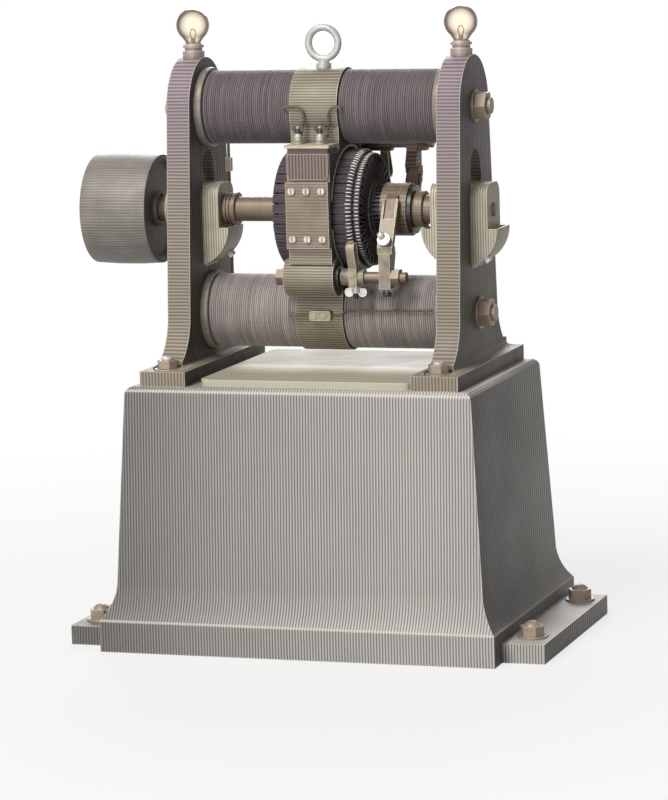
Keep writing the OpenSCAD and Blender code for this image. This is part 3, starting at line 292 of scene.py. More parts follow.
def painted_casting(name, low, high, edge_tone, axis, pitch, heights=(0.0, 0.46), contrast=(0.7, 1.1),
                    sides=(0.6, 1.1), painted_shade_x=None, top_light=1.5, painted_side_shade=None, side_pitch=0.015, highlight_heights=(),
                    foot=None):
    """Old satin paint on a casting: planed lines, pits, and painted light and shade: darker side faces,
    lighter faces that look up, and pale sharp edges, which are worn edges and a painted highlight.

    low and high are the tones at the two heights. painted_shade_x is a range along X and
    painted_side_shade one along Y, over which painted shade lifts from its darkest. highlight_heights are
    heights of edges too blunt for the edge finder, painted pale as worn edges and a painted highlight, and
    below the height foot the lines stand upright.
    """
    s = Shader(name, specular=0.3)
    z = s.place("z")
    cloud = s.noise(7.0, detail=6.0, rough=0.62)
    base = s.stain(s.mix(low, high, s.rise(z, *heights)), cloud, [(0.28, 0.9), (0.72, 1.0)])
    # Darker towards the low end of a range along X, lighter past its high end: painted shade.
    if painted_shade_x:
        base = s.stain(base, s.rise(s.place("x"), *painted_shade_x), [(0.0, 0.42), (0.45, 0.86), (1.0, 1.12)])
    lines = s.faced_lines(axis, pitch, side_pitch)
    if foot:
        lines = s.blend(s.hatch("x", pitch), lines, s.rise(z, foot, foot + FOOT_EDGE))
    front = s.ramp(lines, [(0.15, grey(contrast[0])), (0.8, grey(contrast[1]))])
    # Side faces darker than front faces: painted shade; a range along Y darkens them further towards its
    # low end, also painted shade.
    side_lines_and_shade = s.ramp(lines, [(0.25, grey(sides[0])), (0.8, grey(sides[1]))])
    if painted_side_shade:
        side_lines_and_shade = s.stain(side_lines_and_shade, s.rise(s.place("y"), *painted_side_shade), [(0.0, 0.3), (0.5, 0.75), (1.0, 1.25)])
    base = s.mix(base, s.mix(front, side_lines_and_shade, s.sideways()), 1.0, "MULTIPLY")
    # Faces that look up made lighter: painted light.
    base = s.mix(base, grey(top_light), s.upward(), "MULTIPLY")
    # Pale sharp edges, and pale bands at listed heights: worn edges and a painted highlight.
    worn_and_lit_edges = s.edges(0.003)
    for height in highlight_heights:
        off = s.math("ABSOLUTE", s.math("SUBTRACT", z, height))
        worn_and_lit_edges = s.math("MAXIMUM", worn_and_lit_edges, s.remap(off, (0.001, 0.003), (0.75, 0.0)))
    s.colour(s.mix(base, edge_tone, s.math("MULTIPLY", worn_and_lit_edges, 0.8)))
    s.roughness(s.vary(cloud, 0.5, 0.66))
    s.bump(s.noise(420.0, detail=3.0, rough=0.7), 0.0005, 0.3)
    s.bump(lines, 0.0004, 0.35)


def turned_metal(name, tone, roughness=0.42, marks=(900, 6, 6), metallic=0.4, edge_tone=None, lines=None,
                 contrast=0.7):
    """Metal with fine tool marks along one direction, darker tarnish in clouds, and sharp edges in another
    tone: worn edges, and where that tone is pale a painted highlight.

    lines is an axis and a pitch; a third value is the pitch of upright lines on side faces.
    """
    s = Shader(name, metallic=metallic)
    tool = s.noise(1.0, marks, detail=4.0, rough=0.6)
    cloud = s.noise(26.0, detail=4.0)
    base = s.ramp(cloud, [(0.3, shade(tone, 0.8)), (0.55, tone), (0.75, shade(tone, 1.1))])
    base = s.stain(base, tool, [(0.32, 0.76), (0.68, 1.06)], 0.85)
    if lines:
        groove = s.faced_lines(*lines) if len(lines) == 3 else s.hatch(*lines)
        base = s.stain(base, groove, [(0.1, contrast), (0.75, 1.1)])
        s.bump(groove, 0.0003, 0.3)
    if edge_tone:
        # Sharp edges in another tone; a pale one is worn edges and a painted highlight.
        base = s.tone_edges(base, edge_tone, 0.0022, 0.85)
    s.colour(base)
    s.roughness(s.vary(tool, roughness - 0.07, roughness + 0.13))
    s.bump(tool, 0.00025, 0.25)


def pole_metal(name):
    """Planed olive castings of the poles: browner pads with upright lines, side faces near black as painted
    shade, a pale ring at the bore as a painted highlight.
    """
    s = Shader(name, metallic=0.15)
    y = s.place("y")
    proud = s.rise(s.math("ABSOLUTE", y), *PAD_FACE_Y)
    across = s.math("MULTIPLY", y, s.over_shaft())
    pad = s.math("MULTIPLY", proud, s.math("LESS_THAN", across, 0.0))
    planed = s.hatch("z", pitch=0.0047)
    upright = s.hatch("x", pitch=0.0058)
    casting = s.ramp(planed, [(0.1, srgb(98, 91, 79)), (0.75, srgb(147, 138, 119))])
    facing = s.ramp(upright, [(0.1, srgb(72, 59, 57)), (0.75, srgb(125, 107, 100))])
    cloud = s.noise(26.0, detail=4.0)
    base = s.stain(s.mix(casting, facing, pad), cloud, [(0.3, 0.84), (0.7, 1.04)])
    # Faces that look along X turned near black: painted shade.
    base = s.mix(base, srgb(46, 42, 41), s.math("MULTIPLY", s.sideways(), 0.9))
    # Pale sharp edges: worn edges and a painted highlight.
    base = s.tone_edges(base, BRASS_WORN_HIGHLIT_EDGE, 0.0022, 0.85)
    # A pale ring at the edge of the bore: painted highlight.
    s.colour(s.mix(srgb(226, 222, 210), base, s.rise(s.shaft_radius(), *BORE_EDGE_R)))
    s.roughness(s.vary(cloud, 0.48, 0.62))
    s.bump(planed, 0.0003, 0.3)


def board_wood(name):
    """Terminal board: pale on top, on a dark spacer."""
    s = Shader(name)
    figure = s.noise(9.0, (4, 40, 60), detail=6.0, rough=0.6, distortion=0.6)
    pale = s.ramp(figure, [(0.3, srgb(158, 148, 130)), (0.7, srgb(206, 198, 180))])
    dark = s.ramp(figure, [(0.3, srgb(62, 52, 50)), (0.7, srgb(112, 94, 88))])
    s.colour(s.mix(dark, pale, s.rise(s.over_shaft(), *SPACER_TOP)))
    s.roughness(s.vary(figure, 0.42, 0.6))
    s.bump(figure, 0.0004, 0.3)


def holder_metal(name):
    """Brass of the brush holders; the set screw below the lever is blackened."""
    s = Shader(name, metallic=0.3)
    tool = s.noise(1.0, (60, 260, 60), detail=4.0)
    tones = [(0.3, srgb(98, 91, 79)), (0.55, srgb(131, 123, 107)), (0.75, srgb(149, 141, 122))]
    # Pale sharp edges: worn edges and a painted highlight.
    brass = s.tone_edges(s.ramp(tool, tones), BRASS_WORN_HIGHLIT_EDGE, 0.0018, 0.9)
    drop = s.math("ABSOLUTE", s.over_shaft())
    s.colour(s.mix(brass, srgb(52, 50, 54), s.rise(drop, *SET_SCREW_DROP)))
    s.roughness(s.vary(tool, 0.4, 0.58))
    s.bump(tool, 0.0002, 0.3)


def commutator_metal(name):
    """Bare pinkish copper under the brushes, varnished dark at the neck and along the risers."""
    s = Shader(name, metallic=0.2)
    tool = s.noise(1.0, (900, 25, 25), detail=4.0)
    copper = s.ramp(tool, [(0.3, srgb(84, 72, 63)), (0.5, srgb(117, 103, 87)), (0.72, srgb(144, 130, 105))])
    cloud = s.noise(120.0, detail=3.0)
    varnish = s.ramp(cloud, [(0.3, srgb(20, 17, 18)), (0.55, srgb(34, 29, 31)), (0.75, srgb(58, 50, 50))])
    neck = s.remap(s.place("x"), COMMUTATOR_NECK_X, (1.0, 0.0))
    riser = s.rise(s.shaft_radius(), *RISER_R)
    s.colour(s.mix(copper, varnish, s.math("MAXIMUM", neck, riser)))
    s.roughness(s.vary(tool, 0.42, 0.6))
    s.bump(tool, 0.0002, 0.3)


def wood(name, tone, grain=(3, 40, 40)):
    """Oiled wood with its figure along one direction, and pale sharp edges: worn edges and a painted
    highlight.
    """
    s = Shader(name)
    figure = s.noise(9.0, grain, detail=6.0, rough=0.6, distortion=0.6)
    base = s.ramp(figure, [(0.3, shade(tone, 0.6)), (0.5, tone), (0.72, shade(tone, 1.25))])
    s.colour(s.tone_edges(base, shade(tone, 1.9), 0.002, 0.6))
    s.roughness(s.vary(figure, 0.36, 0.52))
    s.bump(figure, 0.0004, 0.3)


def cotton_wire(name, tone, turns=(330, 5, 5), spread=(0.6, 1.35)):
    """Varnished cotton covering: each turn a little different, fuzzy sheen, fine thread."""
    s = Shader(name, roughness=0.62, specular=0.3)
    turn = s.noise(1.0, turns, detail=2.0)
    patches = s.noise(22.0, detail=4.0)
    base = s.ramp(turn, [(0.25, shade(tone, spread[0])), (0.5, tone), (0.75, shade(tone, spread[1]))])
    s.colour(s.stain(base, patches, [(0.3, 0.74), (0.7, 1.0)], 0.8))
    s.bsdf.inputs["Sheen Weight"].default_value = 0.12
    s.bump(s.noise(1500.0, detail=2.0), 0.0003, 0.4)


def ebonite(name, tone):
    """Hard black rubber, or blacking on metal, with a soft gloss."""
    s = Shader(name)
    cloud = s.noise(40.0, detail=3.0)
    s.colour(s.ramp(cloud, [(0.3, shade(tone, 0.7)), (0.7, shade(tone, 1.3))]))
    s.roughness(s.vary(cloud, 0.28, 0.45))


def lamp_glass(name):
    """Thin old glass: clear and warm where it is looked through squarely, darkened towards its outline as
    painted shade.
    """
    s = Shader(name, roughness=0.02)
    facing = s.add("LayerWeight", {"Blend": 0.4}).outputs["Facing"]
    s.colour(s.ramp(facing, [(0.06, (0.94, 0.90, 0.80, 1.0)), (0.22, (0.74, 0.68, 0.63, 1.0)),
                             (0.38, (0.34, 0.27, 0.26, 1.0)), (0.58, (0.04, 0.03, 0.03, 1.0))]))
    s.bsdf.inputs["Transmission Weight"].default_value = 1.0
    s.bsdf.inputs["IOR"].default_value = 1.12
    s.bsdf.inputs["Emission Color"].default_value = (1.0, 0.93, 0.74, 1.0)
    s.bsdf.inputs["Emission Strength"].default_value = 0.05
    s.bump(s.noise(60.0, detail=2.0), 0.0003, 0.1)


def glowing(name):
    """Carbon filament with a faint glow."""
    s = Shader(name)
    heat = s.noise(90.0, detail=2.0)
    s.colour(s.ramp(heat, [(0.3, (0.10, 0.06, 0.04, 1)), (0.7, (0.22, 0.13, 0.07, 1))]))
    s.bsdf.inputs["Emission Color"].default_value = (1.0, 0.66, 0.3, 1.0)
    s.bsdf.inputs["Emission Strength"].default_value = 0.12


def make_castings():
    """Painted iron and the planed metal of the poles and bearings."""
    # The darker side faces, the shade ranges along X and Y, the lighter tops and the pale edges given below
    # are painted light and shade.
    painted_casting("pedestal_iron", srgb(160, 156, 152), srgb(158, 155, 151), WORN_HIGHLIT_EDGE, axis="x",
                    pitch=0.0052, contrast=(0.45, 1.28), sides=(0.42, 1.0), painted_shade_x=(-0.36, 0.2),
                    painted_side_shade=(-0.24, 0.2), side_pitch=0.013, highlight_heights=(0.055, 0.4535))
    painted_casting("standard_iron", srgb(138, 128, 114), srgb(140, 126, 131), WORN_HIGHLIT_EDGE, axis="z",
                    pitch=0.0058, heights=(0.68, 0.94), contrast=(0.55, 1.2), sides=(0.3, 0.9),
                    top_light=1.25, painted_side_shade=(-0.12, 0.14), side_pitch=0.012, foot=0.486)
    drip = srgb(176, 171, 152)
    painted_casting("drip_paint", drip, drip, srgb(216, 211, 196), axis="y", pitch=0.02,
                    contrast=(0.8, 1.08), top_light=1.05)
    pole_metal("pole_metal")
    turned_metal("bearing_metal", srgb(184, 175, 155), roughness=0.5, marks=(190, 190, 4), metallic=0.1,
                 edge_tone=BRASS_WORN_HIGHLIT_EDGE, lines=("x", 0.0046, 0.0062), contrast=0.5)
    turned_metal("core_iron", srgb(104, 97, 93), roughness=0.45, metallic=0.3)
    turned_metal("pulley_iron", srgb(130, 124, 117), roughness=0.5, marks=(6, 190, 190), metallic=0.15,
                 edge_tone=WORN_HIGHLIT_EDGE, lines=("round", 0.055))
    turned_metal("eye_iron", srgb(188, 187, 183), roughness=0.46, marks=(120, 120, 120), metallic=0.25)


def make_fittings():
    """Brass, bronze, steel and copper of the small pieces."""
    turned_metal("brass", srgb(152, 139, 118), roughness=0.46, marks=(700, 30, 30), metallic=0.3,
                 edge_tone=BRASS_WORN_HIGHLIT_EDGE)
    turned_metal("plate_brass", srgb(134, 119, 104), roughness=0.5, marks=(30, 30, 500), metallic=0.2,
                 edge_tone=BRASS_WORN_HIGHLIT_EDGE, lines=("z", 0.0054))
    holder_metal("holder_brass")
    # The rear brush arm's brass, darker than the front arm's: painted shade.
    turned_metal("shade_painted_brass", srgb(104, 84, 70), roughness=0.5, marks=(60, 60, 260), metallic=0.2,
                 lines=("z", 0.0068), contrast=0.4)
    turned_metal("nut_bronze", srgb(152, 135, 119), roughness=0.46, marks=EVEN_MARKS, metallic=0.25,
                 edge_tone=srgb(206, 192, 174))
    turned_metal("screw_steel", srgb(214, 208, 196), roughness=0.5, marks=EVEN_MARKS, metallic=0.1,
                 edge_tone=srgb(44, 38, 36))
    turned_metal("post_metal", srgb(182, 182, 164), roughness=0.42, marks=(60, 60, 700), metallic=0.2,
                 edge_tone=srgb(84, 82, 70))
    turned_metal("plug_steel", srgb(214, 213, 208), roughness=0.42, marks=EVEN_MARKS, metallic=0.15)
    turned_metal("steel", srgb(206, 204, 200), roughness=0.4, marks=(500, 60, 500), metallic=0.3,
                 edge_tone=srgb(238, 236, 232))
    turned_metal("shaft_steel", srgb(126, 110, 94), roughness=0.46, metallic=0.3, lines=("round", 0.16))
    turned_metal("lamp_collar", srgb(160, 146, 138), roughness=0.46, marks=(260, 260, 30),
                 metallic=0.25, edge_tone=WORN_HIGHLIT_EDGE)
    turned_metal("brush_gauze", srgb(128, 108, 100), roughness=0.5, marks=(400, 400, 60), metallic=0.3)
    # White strips on the armature's winding: a painted highlight on its turns.
    turned_metal("glint_white", srgb(232, 229, 224), roughness=0.5, marks=(160, 160, 160), metallic=0.0)
    commutator_metal("copper")


def make_insulation():
    """Cotton, wood, rubber and glass."""
    cotton_wire("coil_cotton", srgb(113, 103, 105))
    cotton_wire("lower_coil_cotton", srgb(156, 147, 144))
    cotton_wire("armature_cotton", srgb(78, 68, 74), turns=(6, 260, 260), spread=(0.4, 1.6))
    cotton_wire("riser_cotton", srgb(86, 78, 75), turns=EVEN_THREAD)
    cotton_wire("pale_cord", srgb(206, 200, 190), turns=EVEN_THREAD)
    cotton_wire("lead_cotton", srgb(112, 100, 84), turns=EVEN_THREAD)
    wood("bobbin_board", srgb(124, 116, 105), grain=(20, 6, 40))
    wood("hub_wood", srgb(80, 62, 50))
    board_wood("terminal_wood")
    ebonite("ebonite", srgb(40, 36, 36))
    ebonite("black_nut", srgb(54, 50, 48))
    lamp_glass("bulb_glass")
    glowing("filament")


# Finishes and edges of the CAD nodes

NODE_FINISH = {
    "lamp_holders": "lamp_collar", "lifting_eye": "eye_iron", "drain_plugs": "plug_steel",
    "upper_field_core": "nut_bronze", "lower_field_core": "nut_bronze",
    "binding_posts": "post_metal", "left_terminal_nut": "black_nut", "right_terminal_nut": "black_nut",
    "front_bridge_plate": "plate_brass", "rear_bridge_plate": "plate_brass", "bridge_screws": "screw_steel",
    # The rear brush arm's darker brass is painted shade.
    "front_brush_arm": "holder_brass", "rear_brush_arm": "shade_painted_brass",
    "front_brush": "brush_gauze", "rear_brush": "brush_gauze",
    "front_thumb_screw": "steel", "rear_thumb_screw": "steel",
    "front_wing_nut": "steel", "rear_wing_nut": "steel",
}

EDGE_ROUNDS = {
    0.0025: ("left_standard", "right_standard"),
    0.002: ("upper_pole_piece", "lower_pole_piece", "left_bearing_block", "right_bearing_block", "pulley",
            "upper_left_bobbin", "upper_right_bobbin", "lower_left_bobbin", "lower_right_bobbin"),
    0.0015: ("drip_plate", "core_nuts"),
    0.001: ("terminal_board", "foot_nuts", "floor_nuts"),
    0.0006: ("front_brush_arm", "rear_brush_arm", "lamp_holders", "field_connector"),
    0.0005: ("washers",),
    0.0004: ("front_loop_spring", "rear_loop_spring"),
}
WELD_GAP = 0.00002
SHARP_ANGLE = math.radians(35)


def dress_nodes():
    """Each CAD node takes the finish of its slot, or its own where the photograph sets it apart."""
    slots = {p["node"]: p["material_slot"] for p in frame["record"]["subparts"]}
    for name, obj in nodes.items():
        obj.data.materials.clear()
        obj.data.materials.append(MATERIALS[NODE_FINISH.get(name, slots[name])])


def round_edges():
    """Breaks the sharp edges of castings, nuts and bobbins."""
    for width, names in EDGE_ROUNDS.items():
        for name in names:
            weld = nodes[name].modifiers.new("weld", "WELD")
            weld.merge_threshold = WELD_GAP
            bevel = nodes[name].modifiers.new("edge rounds", "BEVEL")
            bevel.width = width
            bevel.segments = 2
            bevel.limit_method = "ANGLE"
            bevel.angle_limit = SHARP_ANGLE


# Mesh helpers


def mesh_piece(name, parts, material, body, replaced=None):
    """One smooth piece made of several closed parts, each a pair of points and faces."""
    points = []
    faces = []
    for part_points, part_faces in parts:
        base = len(points)
        points.extend(tuple(p) for p in part_points)
        faces.extend(tuple(base + i for i in face) for face in part_faces)
    mesh = bpy.data.meshes.new(name)
    mesh.from_pydata(points, [], faces)
    mesh.polygons.foreach_set("use_smooth", [True] * len(mesh.polygons))
    mesh.materials.append(MATERIALS[material])
    obj = bpy.data.objects.new(name, mesh)
    bpy.context.scene.collection.objects.link(obj)
    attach(obj, body)
    if replaced:
        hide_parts(replaced)


def node_box(node):
    """The lowest and highest corner of a CAD node."""
    return [np.array(corner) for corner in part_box(node)]


def round_shaft(x, radius, angle):
    """Points at a place along the shaft, a distance from its axis and an angle round it."""
    x, radius, angle = np.broadcast_arrays(x, radius, angle)
    return np.stack([x, radius * np.cos(angle), SHAFT_Z + radius * np.sin(angle)], axis=1)


def path_frames(path, closed=False):
    """Two directions square to a path at each of its points, carried along without twist."""
    count = len(path)
    if closed:
        tangents = path[(np.arange(count) + 1) % count] - path[np.arange(count) - 1]
    else:
        tangents = np.gradient(path, axis=0)
    tangents = tangents / np.linalg.norm(tangents, axis=1)[:, None]
    normal = np.cross(tangents[0], (0.31, 0.52, 0.79))
    normals = []
    for tangent in tangents:
        normal = normal - tangent * normal.dot(tangent)
        normal = normal / np.linalg.norm(normal)
        normals.append(normal)
    normals = np.array(normals)
    return normals, np.cross(tangents, normals)


def sweep(path, radius, sides, closed=False):
    """Points and faces of a round tube along a path."""
    count = len(path)
    normals, across = path_frames(path, closed)
    angles = np.linspace(0, 2 * math.pi, sides, endpoint=False)
    rings = path[:, None, :] + radius * (np.cos(angles)[None, :, None] * normals[:, None, :]
                                         + np.sin(angles)[None, :, None] * across[:, None, :])
    faces = []
    for i in range(count if closed else count - 1):
        a, b = i * sides, ((i + 1) % count) * sides
        for k in range(sides):
            n = (k + 1) % sides
            faces.append((a + k, a + n, b + n, b + k))
    if not closed:
        faces.append(tuple(range(sides))[::-1])
        faces.append(tuple(range((count - 1) * sides, count * sides)))
    return rings.reshape(-1, 3), faces


def drum(x0, x1, radius, centre, sides=48):
    """A closed drum along X, under the wires."""
    angles = np.linspace(0, 2 * math.pi, sides, endpoint=False)
    ring = np.stack([np.zeros(sides), radius * np.cos(angles), radius * np.sin(angles)], axis=1) + centre
    points = np.concatenate([ring + (x0, 0, 0), ring + (x1, 0, 0)])
    faces = [(k, (k + 1) % sides, sides + (k + 1) % sides, sides + k) for k in range(sides)]
    faces.append(tuple(range(sides))[::-1])
    faces.append(tuple(range(sides, 2 * sides)))
    return points, faces


def smooth_path(points, steps):
    """A Catmull-Rom curve through the points."""
    p = np.asarray(points, float)
    last = len(p) - 1
    out = []
    for i in range(last):
        a, b, c, d = p[max(i - 1, 0)], p[i], p[i + 1], p[min(i + 2, last)]
        for k in range(steps):
            t = k / steps
            out.append((2 * b + (c - a) * t + (2 * a - 5 * b + 4 * c - d) * t ** 2
                        + (3 * b - a - 3 * c + d) * t ** 3) / 2)
    out.append(p[last])
    return np.array(out)


def even_path(path, step):
    """The same curve with points at an even distance, and how far along it each one lies."""
    lengths = np.concatenate([[0], np.cumsum(np.linalg.norm(np.diff(path, axis=0), axis=1))])
    count = max(2, int(round(lengths[-1] / step)) + 1)
    at = np.linspace(0, lengths[-1], count)
    return np.stack([np.interp(at, lengths, path[:, k]) for k in range(3)], axis=1), at


# Field coils: one fine unbroken layer of wire over a drum

COIL_TURNS = 42
COIL_STEPS = 40
COIL_WIRE_SHARE = 0.49
DRUM_SINK = 0.3


def field_coil(node, material):
    """The winding of one bobbin, in the space of its CAD node."""
    low, high = node_box(node)
    centre = np.array([0.0, (low[1] + high[1]) / 2, (low[2] + high[2]) / 2])
    length = high[0] - low[0]
    pitch = length / (COIL_TURNS + 0.5)
    wire = pitch * COIL_WIRE_SHARE
    radius = (high[2] - low[2]) / 2 - wire
    t = np.linspace(0, 1, COIL_TURNS * COIL_STEPS + 1)
    angle = 2 * math.pi * COIL_TURNS * t
    x = low[0] + pitch / 2 + (length - pitch) * t
    path = np.stack([x, radius * np.cos(angle), radius * np.sin(angle)], axis=1) + centre
    parts = [sweep(path, wire, sides=6), drum(low[0], high[0], radius - wire * DRUM_SINK, centre)]
    mesh_piece(node.replace("coil", "winding"), parts, material, "frame", node)


# Armature: turns of wire round the ring, in sections

SECTIONS = 36
TURNS_PER_SECTION = 5
SECTION_START = 0.08
SECTION_SHARE = 0.7
TURN_R = 0.0017
CORNER = 0.009
CORNER_STEPS = 6


def turn_outline():
    """One turn round the ring's section, with rounded corners: places along the shaft and radii."""
    low, high = node_box("armature_winding")
    hub_low, hub_high = node_box("armature_hub")
    inset = TURN_R + CORNER
    x0, x1 = low[0] + inset, high[0] - inset
    r0, r1 = (hub_high[2] - hub_low[2]) / 2 + inset, (high[2] - low[2]) / 2 - inset
    outline = []
    for x, radius, start in ((x1, r1, 0), (x0, r1, 90), (x0, r0, 180), (x1, r0, 270)):
        for bend in np.radians(np.linspace(start, start + 90, CORNER_STEPS)):
            outline.append((x + CORNER * math.cos(bend), radius + CORNER * math.sin(bend)))
    return np.array(outline)


def armature_turns():
    """The turns of all sections, in the space of the CAD node's wedges."""
    outline = turn_outline()
    step = 2 * math.pi / SECTIONS
    parts = []
    for i in range(SECTIONS):
        for k in range(TURNS_PER_SECTION):
            angle = step * (i + SECTION_START + SECTION_SHARE * k / (TURNS_PER_SECTION - 1))
            path = round_shaft(outline[:, 0], outline[:, 1], angle)
            parts.append(sweep(path, TURN_R, sides=6, closed=True))
    mesh_piece("armature_turns", parts, "armature_cotton", "rotor", "armature_winding")


# White strips in two rows, a painted highlight on the winding's turns; places along the shaft start at the
# winding's end

CLIPS = 96
CLIP_R = 0.0012
CLIP_LENGTH = 0.0095
CLIP_DIP = 0.001
CLIP_PHASE = 0.25
CORNER_CLIP_X = -0.0115
BAND_CLIP_X = 0.0022
BAND_R = 0.0972


def winding_end():
    """Where the winding ends along the shaft, and its outer radius."""
    low, high = node_box("armature_winding")
    return high[0], (high[2] - low[2]) / 2


def clip_row(along, radius):
    """One row of short bent strips round the shaft; their ends dip under the surface."""
    radius = radius.copy()
    radius[[0, -1]] -= CLIP_DIP
    angles = [2 * math.pi * (i + CLIP_PHASE) / CLIPS for i in range(CLIPS)]
    return [sweep(round_shaft(along, radius, angle), CLIP_R, sides=6) for angle in angles]


def winding_clips():
    """One row over the winding's rounded corner, and one on the band round the risers."""
    end, outer = winding_end()
    along = np.linspace(end + CORNER_CLIP_X, end + CORNER_CLIP_X + CLIP_LENGTH, 6)
    past = np.maximum(along - (end - CORNER), 0.0)
    parts = clip_row(along, outer - CLIP_R - CORNER + np.sqrt(CORNER ** 2 - past ** 2))
    along = np.linspace(end + BAND_CLIP_X, end + BAND_CLIP_X + CLIP_LENGTH, 4)
    parts += clip_row(along, np.full(4, BAND_R))
    mesh_piece("winding_clips", parts, "glint_white", "rotor")


# Cords round the risers and thin wires over them; places along the shaft start at the winding's end

HOOP_STEPS = 96
BAND_HOOPS = 4
BAND_X = 0.0035
BAND_PITCH = 0.0024
BAND_SINK = 0.0006
BAND_CORD_R = 0.0014
NECK_CORD_X = 0.0138
NECK_CORD_AT_R = 0.0502
NECK_CORD_R = 0.0011
RISER_WIRES = 72
RISER_WIRE_R = 0.0008
RISER_FACE_X = 0.0136


def hoop(x, radius, cord):
    """A closed ring of cord round the shaft."""
    angles = np.linspace(0, 2 * math.pi, HOOP_STEPS, endpoint=False)
    return sweep(round_shaft(x, radius, angles), cord, sides=8, closed=True)


def riser_band():
    """A dark cord laid round the ends of the risers, and a pale one where they meet the neck."""
    end = winding_end()[0]
    band = [hoop(end + BAND_X + BAND_PITCH * k, BAND_R - BAND_SINK, BAND_CORD_R) for k in range(BAND_HOOPS)]
    mesh_piece("riser_band", band, "armature_cotton", "rotor")
    neck = [hoop(end + NECK_CORD_X, NECK_CORD_AT_R, NECK_CORD_R)]
    mesh_piece("neck_cord", neck, "pale_cord", "rotor")


def riser_wires():
    """Thin wires from the end of the winding in to the neck of the commutator."""
    end, outer = winding_end()
    face = end + RISER_FACE_X
    # Each point is a place along the shaft, a distance from its axis and a turn round it
    route = [(end - 0.001, outer - 0.0085, 0.0), (end + 0.008, outer - 0.0088, 0.02),
             (face, outer - 0.014, 0.05), (face, 0.072, 0.12), (face, 0.053, 0.18),
             (face + 0.008, 0.0458, 0.22)]
    x, radius, turn = smooth_path(route, steps=5).T
    starts = [2 * math.pi * i / RISER_WIRES for i in range(RISER_WIRES)]
    parts = [sweep(round_shaft(x, radius, start + turn), RISER_WIRE_R, sides=5) for start in starts]
    mesh_piece("riser_wires", parts, "riser_cotton", "rotor")


# Leads of the field, in millimetres from the shaft's height: twisted pairs and single wires

LEAD_R = 0.0026
STRAND_R = LEAD_R * 0.52
TWIST_PITCH = 0.013
LEAD_CURVE_STEPS = 10
PAIR_STEP = 0.0008
WIRE_STEP = 0.002
LEFT_POST_LEAD = [(-58, -66, 181), (-56, -71.5, 182), (-49, -73.5, 184), (-39, -73.5, 184),
                  (-28, -73.5, 182), (-21, -73.5, 175), (-20, -73.5, 165), (-21, -73.5, 152),
                  (-23, -74.5, 141), (-24, -78.8, 133), (-24, -82.8, 129)]
RIGHT_POST_LEAD = [(49, -66, 180), (47, -71.5, 181), (40, -73.5, 183), (32, -73.5, 181), (26, -73.5, 173),
                   (25, -73.5, 157), (25, -73.5, 143), (25, -75.5, 135), (24.2, -84.5, 130.5),
                   (23, -86.2, 129.5)]
LEFT_LOW_LEAD = [(-12.5, -76, -178), (-26.5, -76, -178), (-50, -75, -177), (-57, -70.5, -176),
                 (-58, -66, -176)]
RIGHT_LOW_LEAD = [(17.5, -76, -178), (28.5, -76, -178), (42, -74, -175), (49, -71.5, -171),
                  (112, -69.5, -169.5), (186, -69.5, -168), (198, -69.5, -167.5), (201, -66, -167.5)]
COIL_LINK = [(-204, 50, 134.2), (-204, 50, 0), (-204, 50, -134.2)]


def lead_path(points, step):
    """A lead's smooth route in metres, and how far along it each point lies."""
    metres = [(x / 1000, y / 1000, SHAFT_Z + z / 1000) for x, y, z in points]
    return even_path(smooth_path(metres, LEAD_CURVE_STEPS), step)


def twisted_pair(points):
    """Two strands wound round each other along a route."""
    path, at = lead_path(points, PAIR_STEP)
    normals, across = path_frames(path)
    parts = []
    for start in (0.0, math.pi):
        turn = 2 * math.pi * at / TWIST_PITCH + start
        offset = np.cos(turn)[:, None] * normals + np.sin(turn)[:, None] * across
        parts.append(sweep(path + (LEAD_R - STRAND_R) * offset, STRAND_R, sides=8))
    return parts


def field_leads():
    """All leads as one piece, along the routes of their CAD node."""
    parts = []
    for lead in (LEFT_POST_LEAD, RIGHT_POST_LEAD, RIGHT_LOW_LEAD):
        parts += twisted_pair(lead)
    for lead in (LEFT_LOW_LEAD, COIL_LINK):
        parts.append(sweep(lead_path(lead, WIRE_STEP)[0], LEAD_R, sides=10))
    mesh_piece("twisted_leads", parts, "lead_cotton", "frame", "field_leads")


# Floor and light

FLOOR_HALF = 30.0
FLOOR_TONE = (0.55, 0.545, 0.535, 1)
FLOOR_ROUGHNESS = 0.9
SHADOW_REACH = (0.7, 2.2)
FLOOR_WHITE = (0.78, 1.0)
ROOM_TONE = (1.0, 0.99, 0.97, 1)
ROOM_STRENGTH = 0.07


def seen_white(tree):
    """1 for rays from the camera and for those that gloss or glass sends on."""
    path = add_node(tree, "LightPath", {}).outputs
    first = add_node(tree, "Math", {0: path["Is Camera Ray"], 1: path["Is Glossy Ray"]},
                     operation="MAXIMUM")
    second = add_node(tree, "Math", {0: first.outputs[0], 1: path["Is Transmission Ray"]},
                      operation="MAXIMUM")
    return second.outputs[0]


def floor_material():
    """Pale and matt; it keeps the shadow near the machine and is seen as white further away."""
    material = bpy.data.materials.new("floor")
    material.use_nodes = True
    tree = material.node_tree
    matt = tree.nodes["Principled BSDF"]
    matt.inputs["Base Color"].default_value = FLOOR_TONE
    matt.inputs["Roughness"].default_value = FLOOR_ROUGHNESS
    place = add_node(tree, "TexCoord", {}).outputs["Object"]
    away = add_node(tree, "VectorMath", {0: place}, operation="LENGTH").outputs["Value"]
    share = add_node(tree, "MapRange", {"Value": away, "From Min": SHADOW_REACH[0],
                                        "From Max": SHADOW_REACH[1], "To Min": FLOOR_WHITE[0],
                                        "To Max": FLOOR_WHITE[1]})
    white = add_node(tree, "Math", {0: seen_white(tree), 1: share.outputs["Result"]}, operation="MULTIPLY")
    glow = add_node(tree, "Emission", {"Color": WHITE})
    mix = add_node(tree, "MixShader", {0: white.outputs[0], 1: matt.outputs["BSDF"],
                                       2: glow.outputs["Emission"]})
    tree.links.new(mix.outputs["Shader"], tree.nodes["Material Output"].inputs["Surface"])
    return material


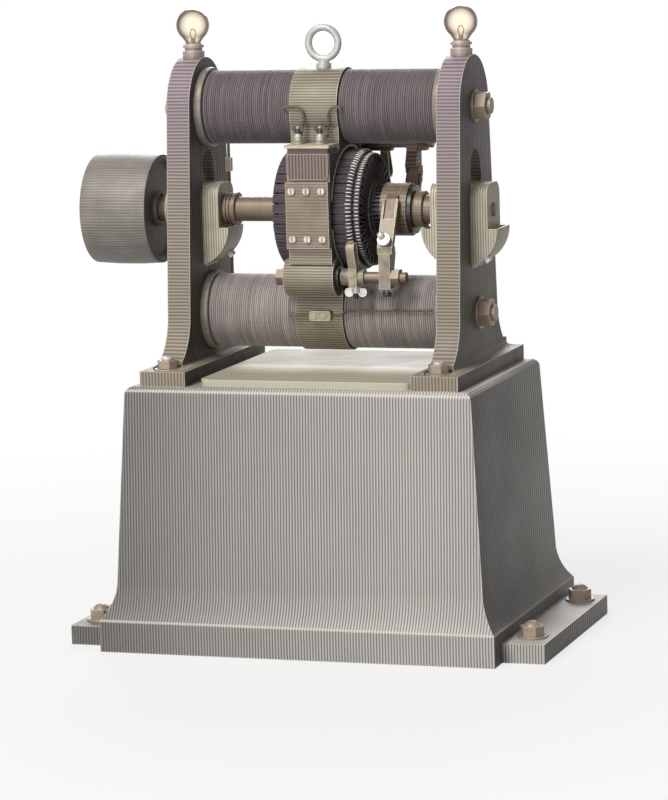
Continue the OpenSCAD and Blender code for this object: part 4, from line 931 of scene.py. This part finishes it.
def make_floor():
    """A plain pale floor under the machine."""
    mesh = bpy.data.meshes.new("floor")
    corners = [(x * FLOOR_HALF, y * FLOOR_HALF, 0) for x, y in ((-1, -1), (1, -1), (1, 1), (-1, 1))]
    mesh.from_pydata(corners, [], [(0, 1, 2, 3)])
    mesh.materials.append(floor_material())
    floor = bpy.data.objects.new("floor", mesh)
    bpy.context.scene.collection.objects.link(floor)


def make_world():
    """Plain soft room light; the camera, metal and glass see white."""
    world = bpy.data.worlds.new("world")
    bpy.context.scene.world = world
    world.use_nodes = True
    tree = world.node_tree
    room = tree.nodes["Background"]
    room.inputs["Color"].default_value = ROOM_TONE
    room.inputs["Strength"].default_value = ROOM_STRENGTH
    white = add_node(tree, "Background", {"Color": WHITE, "Strength": 1.0})
    mix = add_node(tree, "MixShader", {0: seen_white(tree), 1: room.outputs["Background"],
                                       2: white.outputs["Background"]})
    tree.links.new(mix.outputs["Shader"], tree.nodes["World Output"].inputs["Surface"])


def area_light(name, place, target, size, power, colour=(1, 1, 1)):
    """A square soft light that looks at a point."""
    data = bpy.data.lights.new(name, "AREA")
    data.size = size
    data.energy = power
    data.color = colour
    light = bpy.data.objects.new(name, data)
    light.location = place
    light.rotation_euler = (Vector(target) - Vector(place)).to_track_quat("-Z", "Y").to_euler()
    bpy.context.scene.collection.objects.link(light)


make_camera()
make_castings()
make_fittings()
make_insulation()
dress_nodes()
round_edges()
for side in ("left", "right"):
    field_coil(f"upper_{side}_coil", "coil_cotton")
    field_coil(f"lower_{side}_coil", "lower_coil_cotton")
armature_turns()
winding_clips()
riser_band()
riser_wires()
field_leads()
make_floor()
make_world()
area_light("key", (-1.3, -3.9, 5.2), target=(0, 0, 0.55), size=2.2, power=340, colour=(1.0, 0.985, 0.96))
area_light("fill", (-0.3, -5.5, 1.0), target=(0, 0, 0.6), size=1.6, power=110)
area_light("back", (-1.4, 4.8, 3.0), target=(0, 0, 0.5), size=2.4, power=190)
bpy.context.scene.view_settings.view_transform = "Standard"
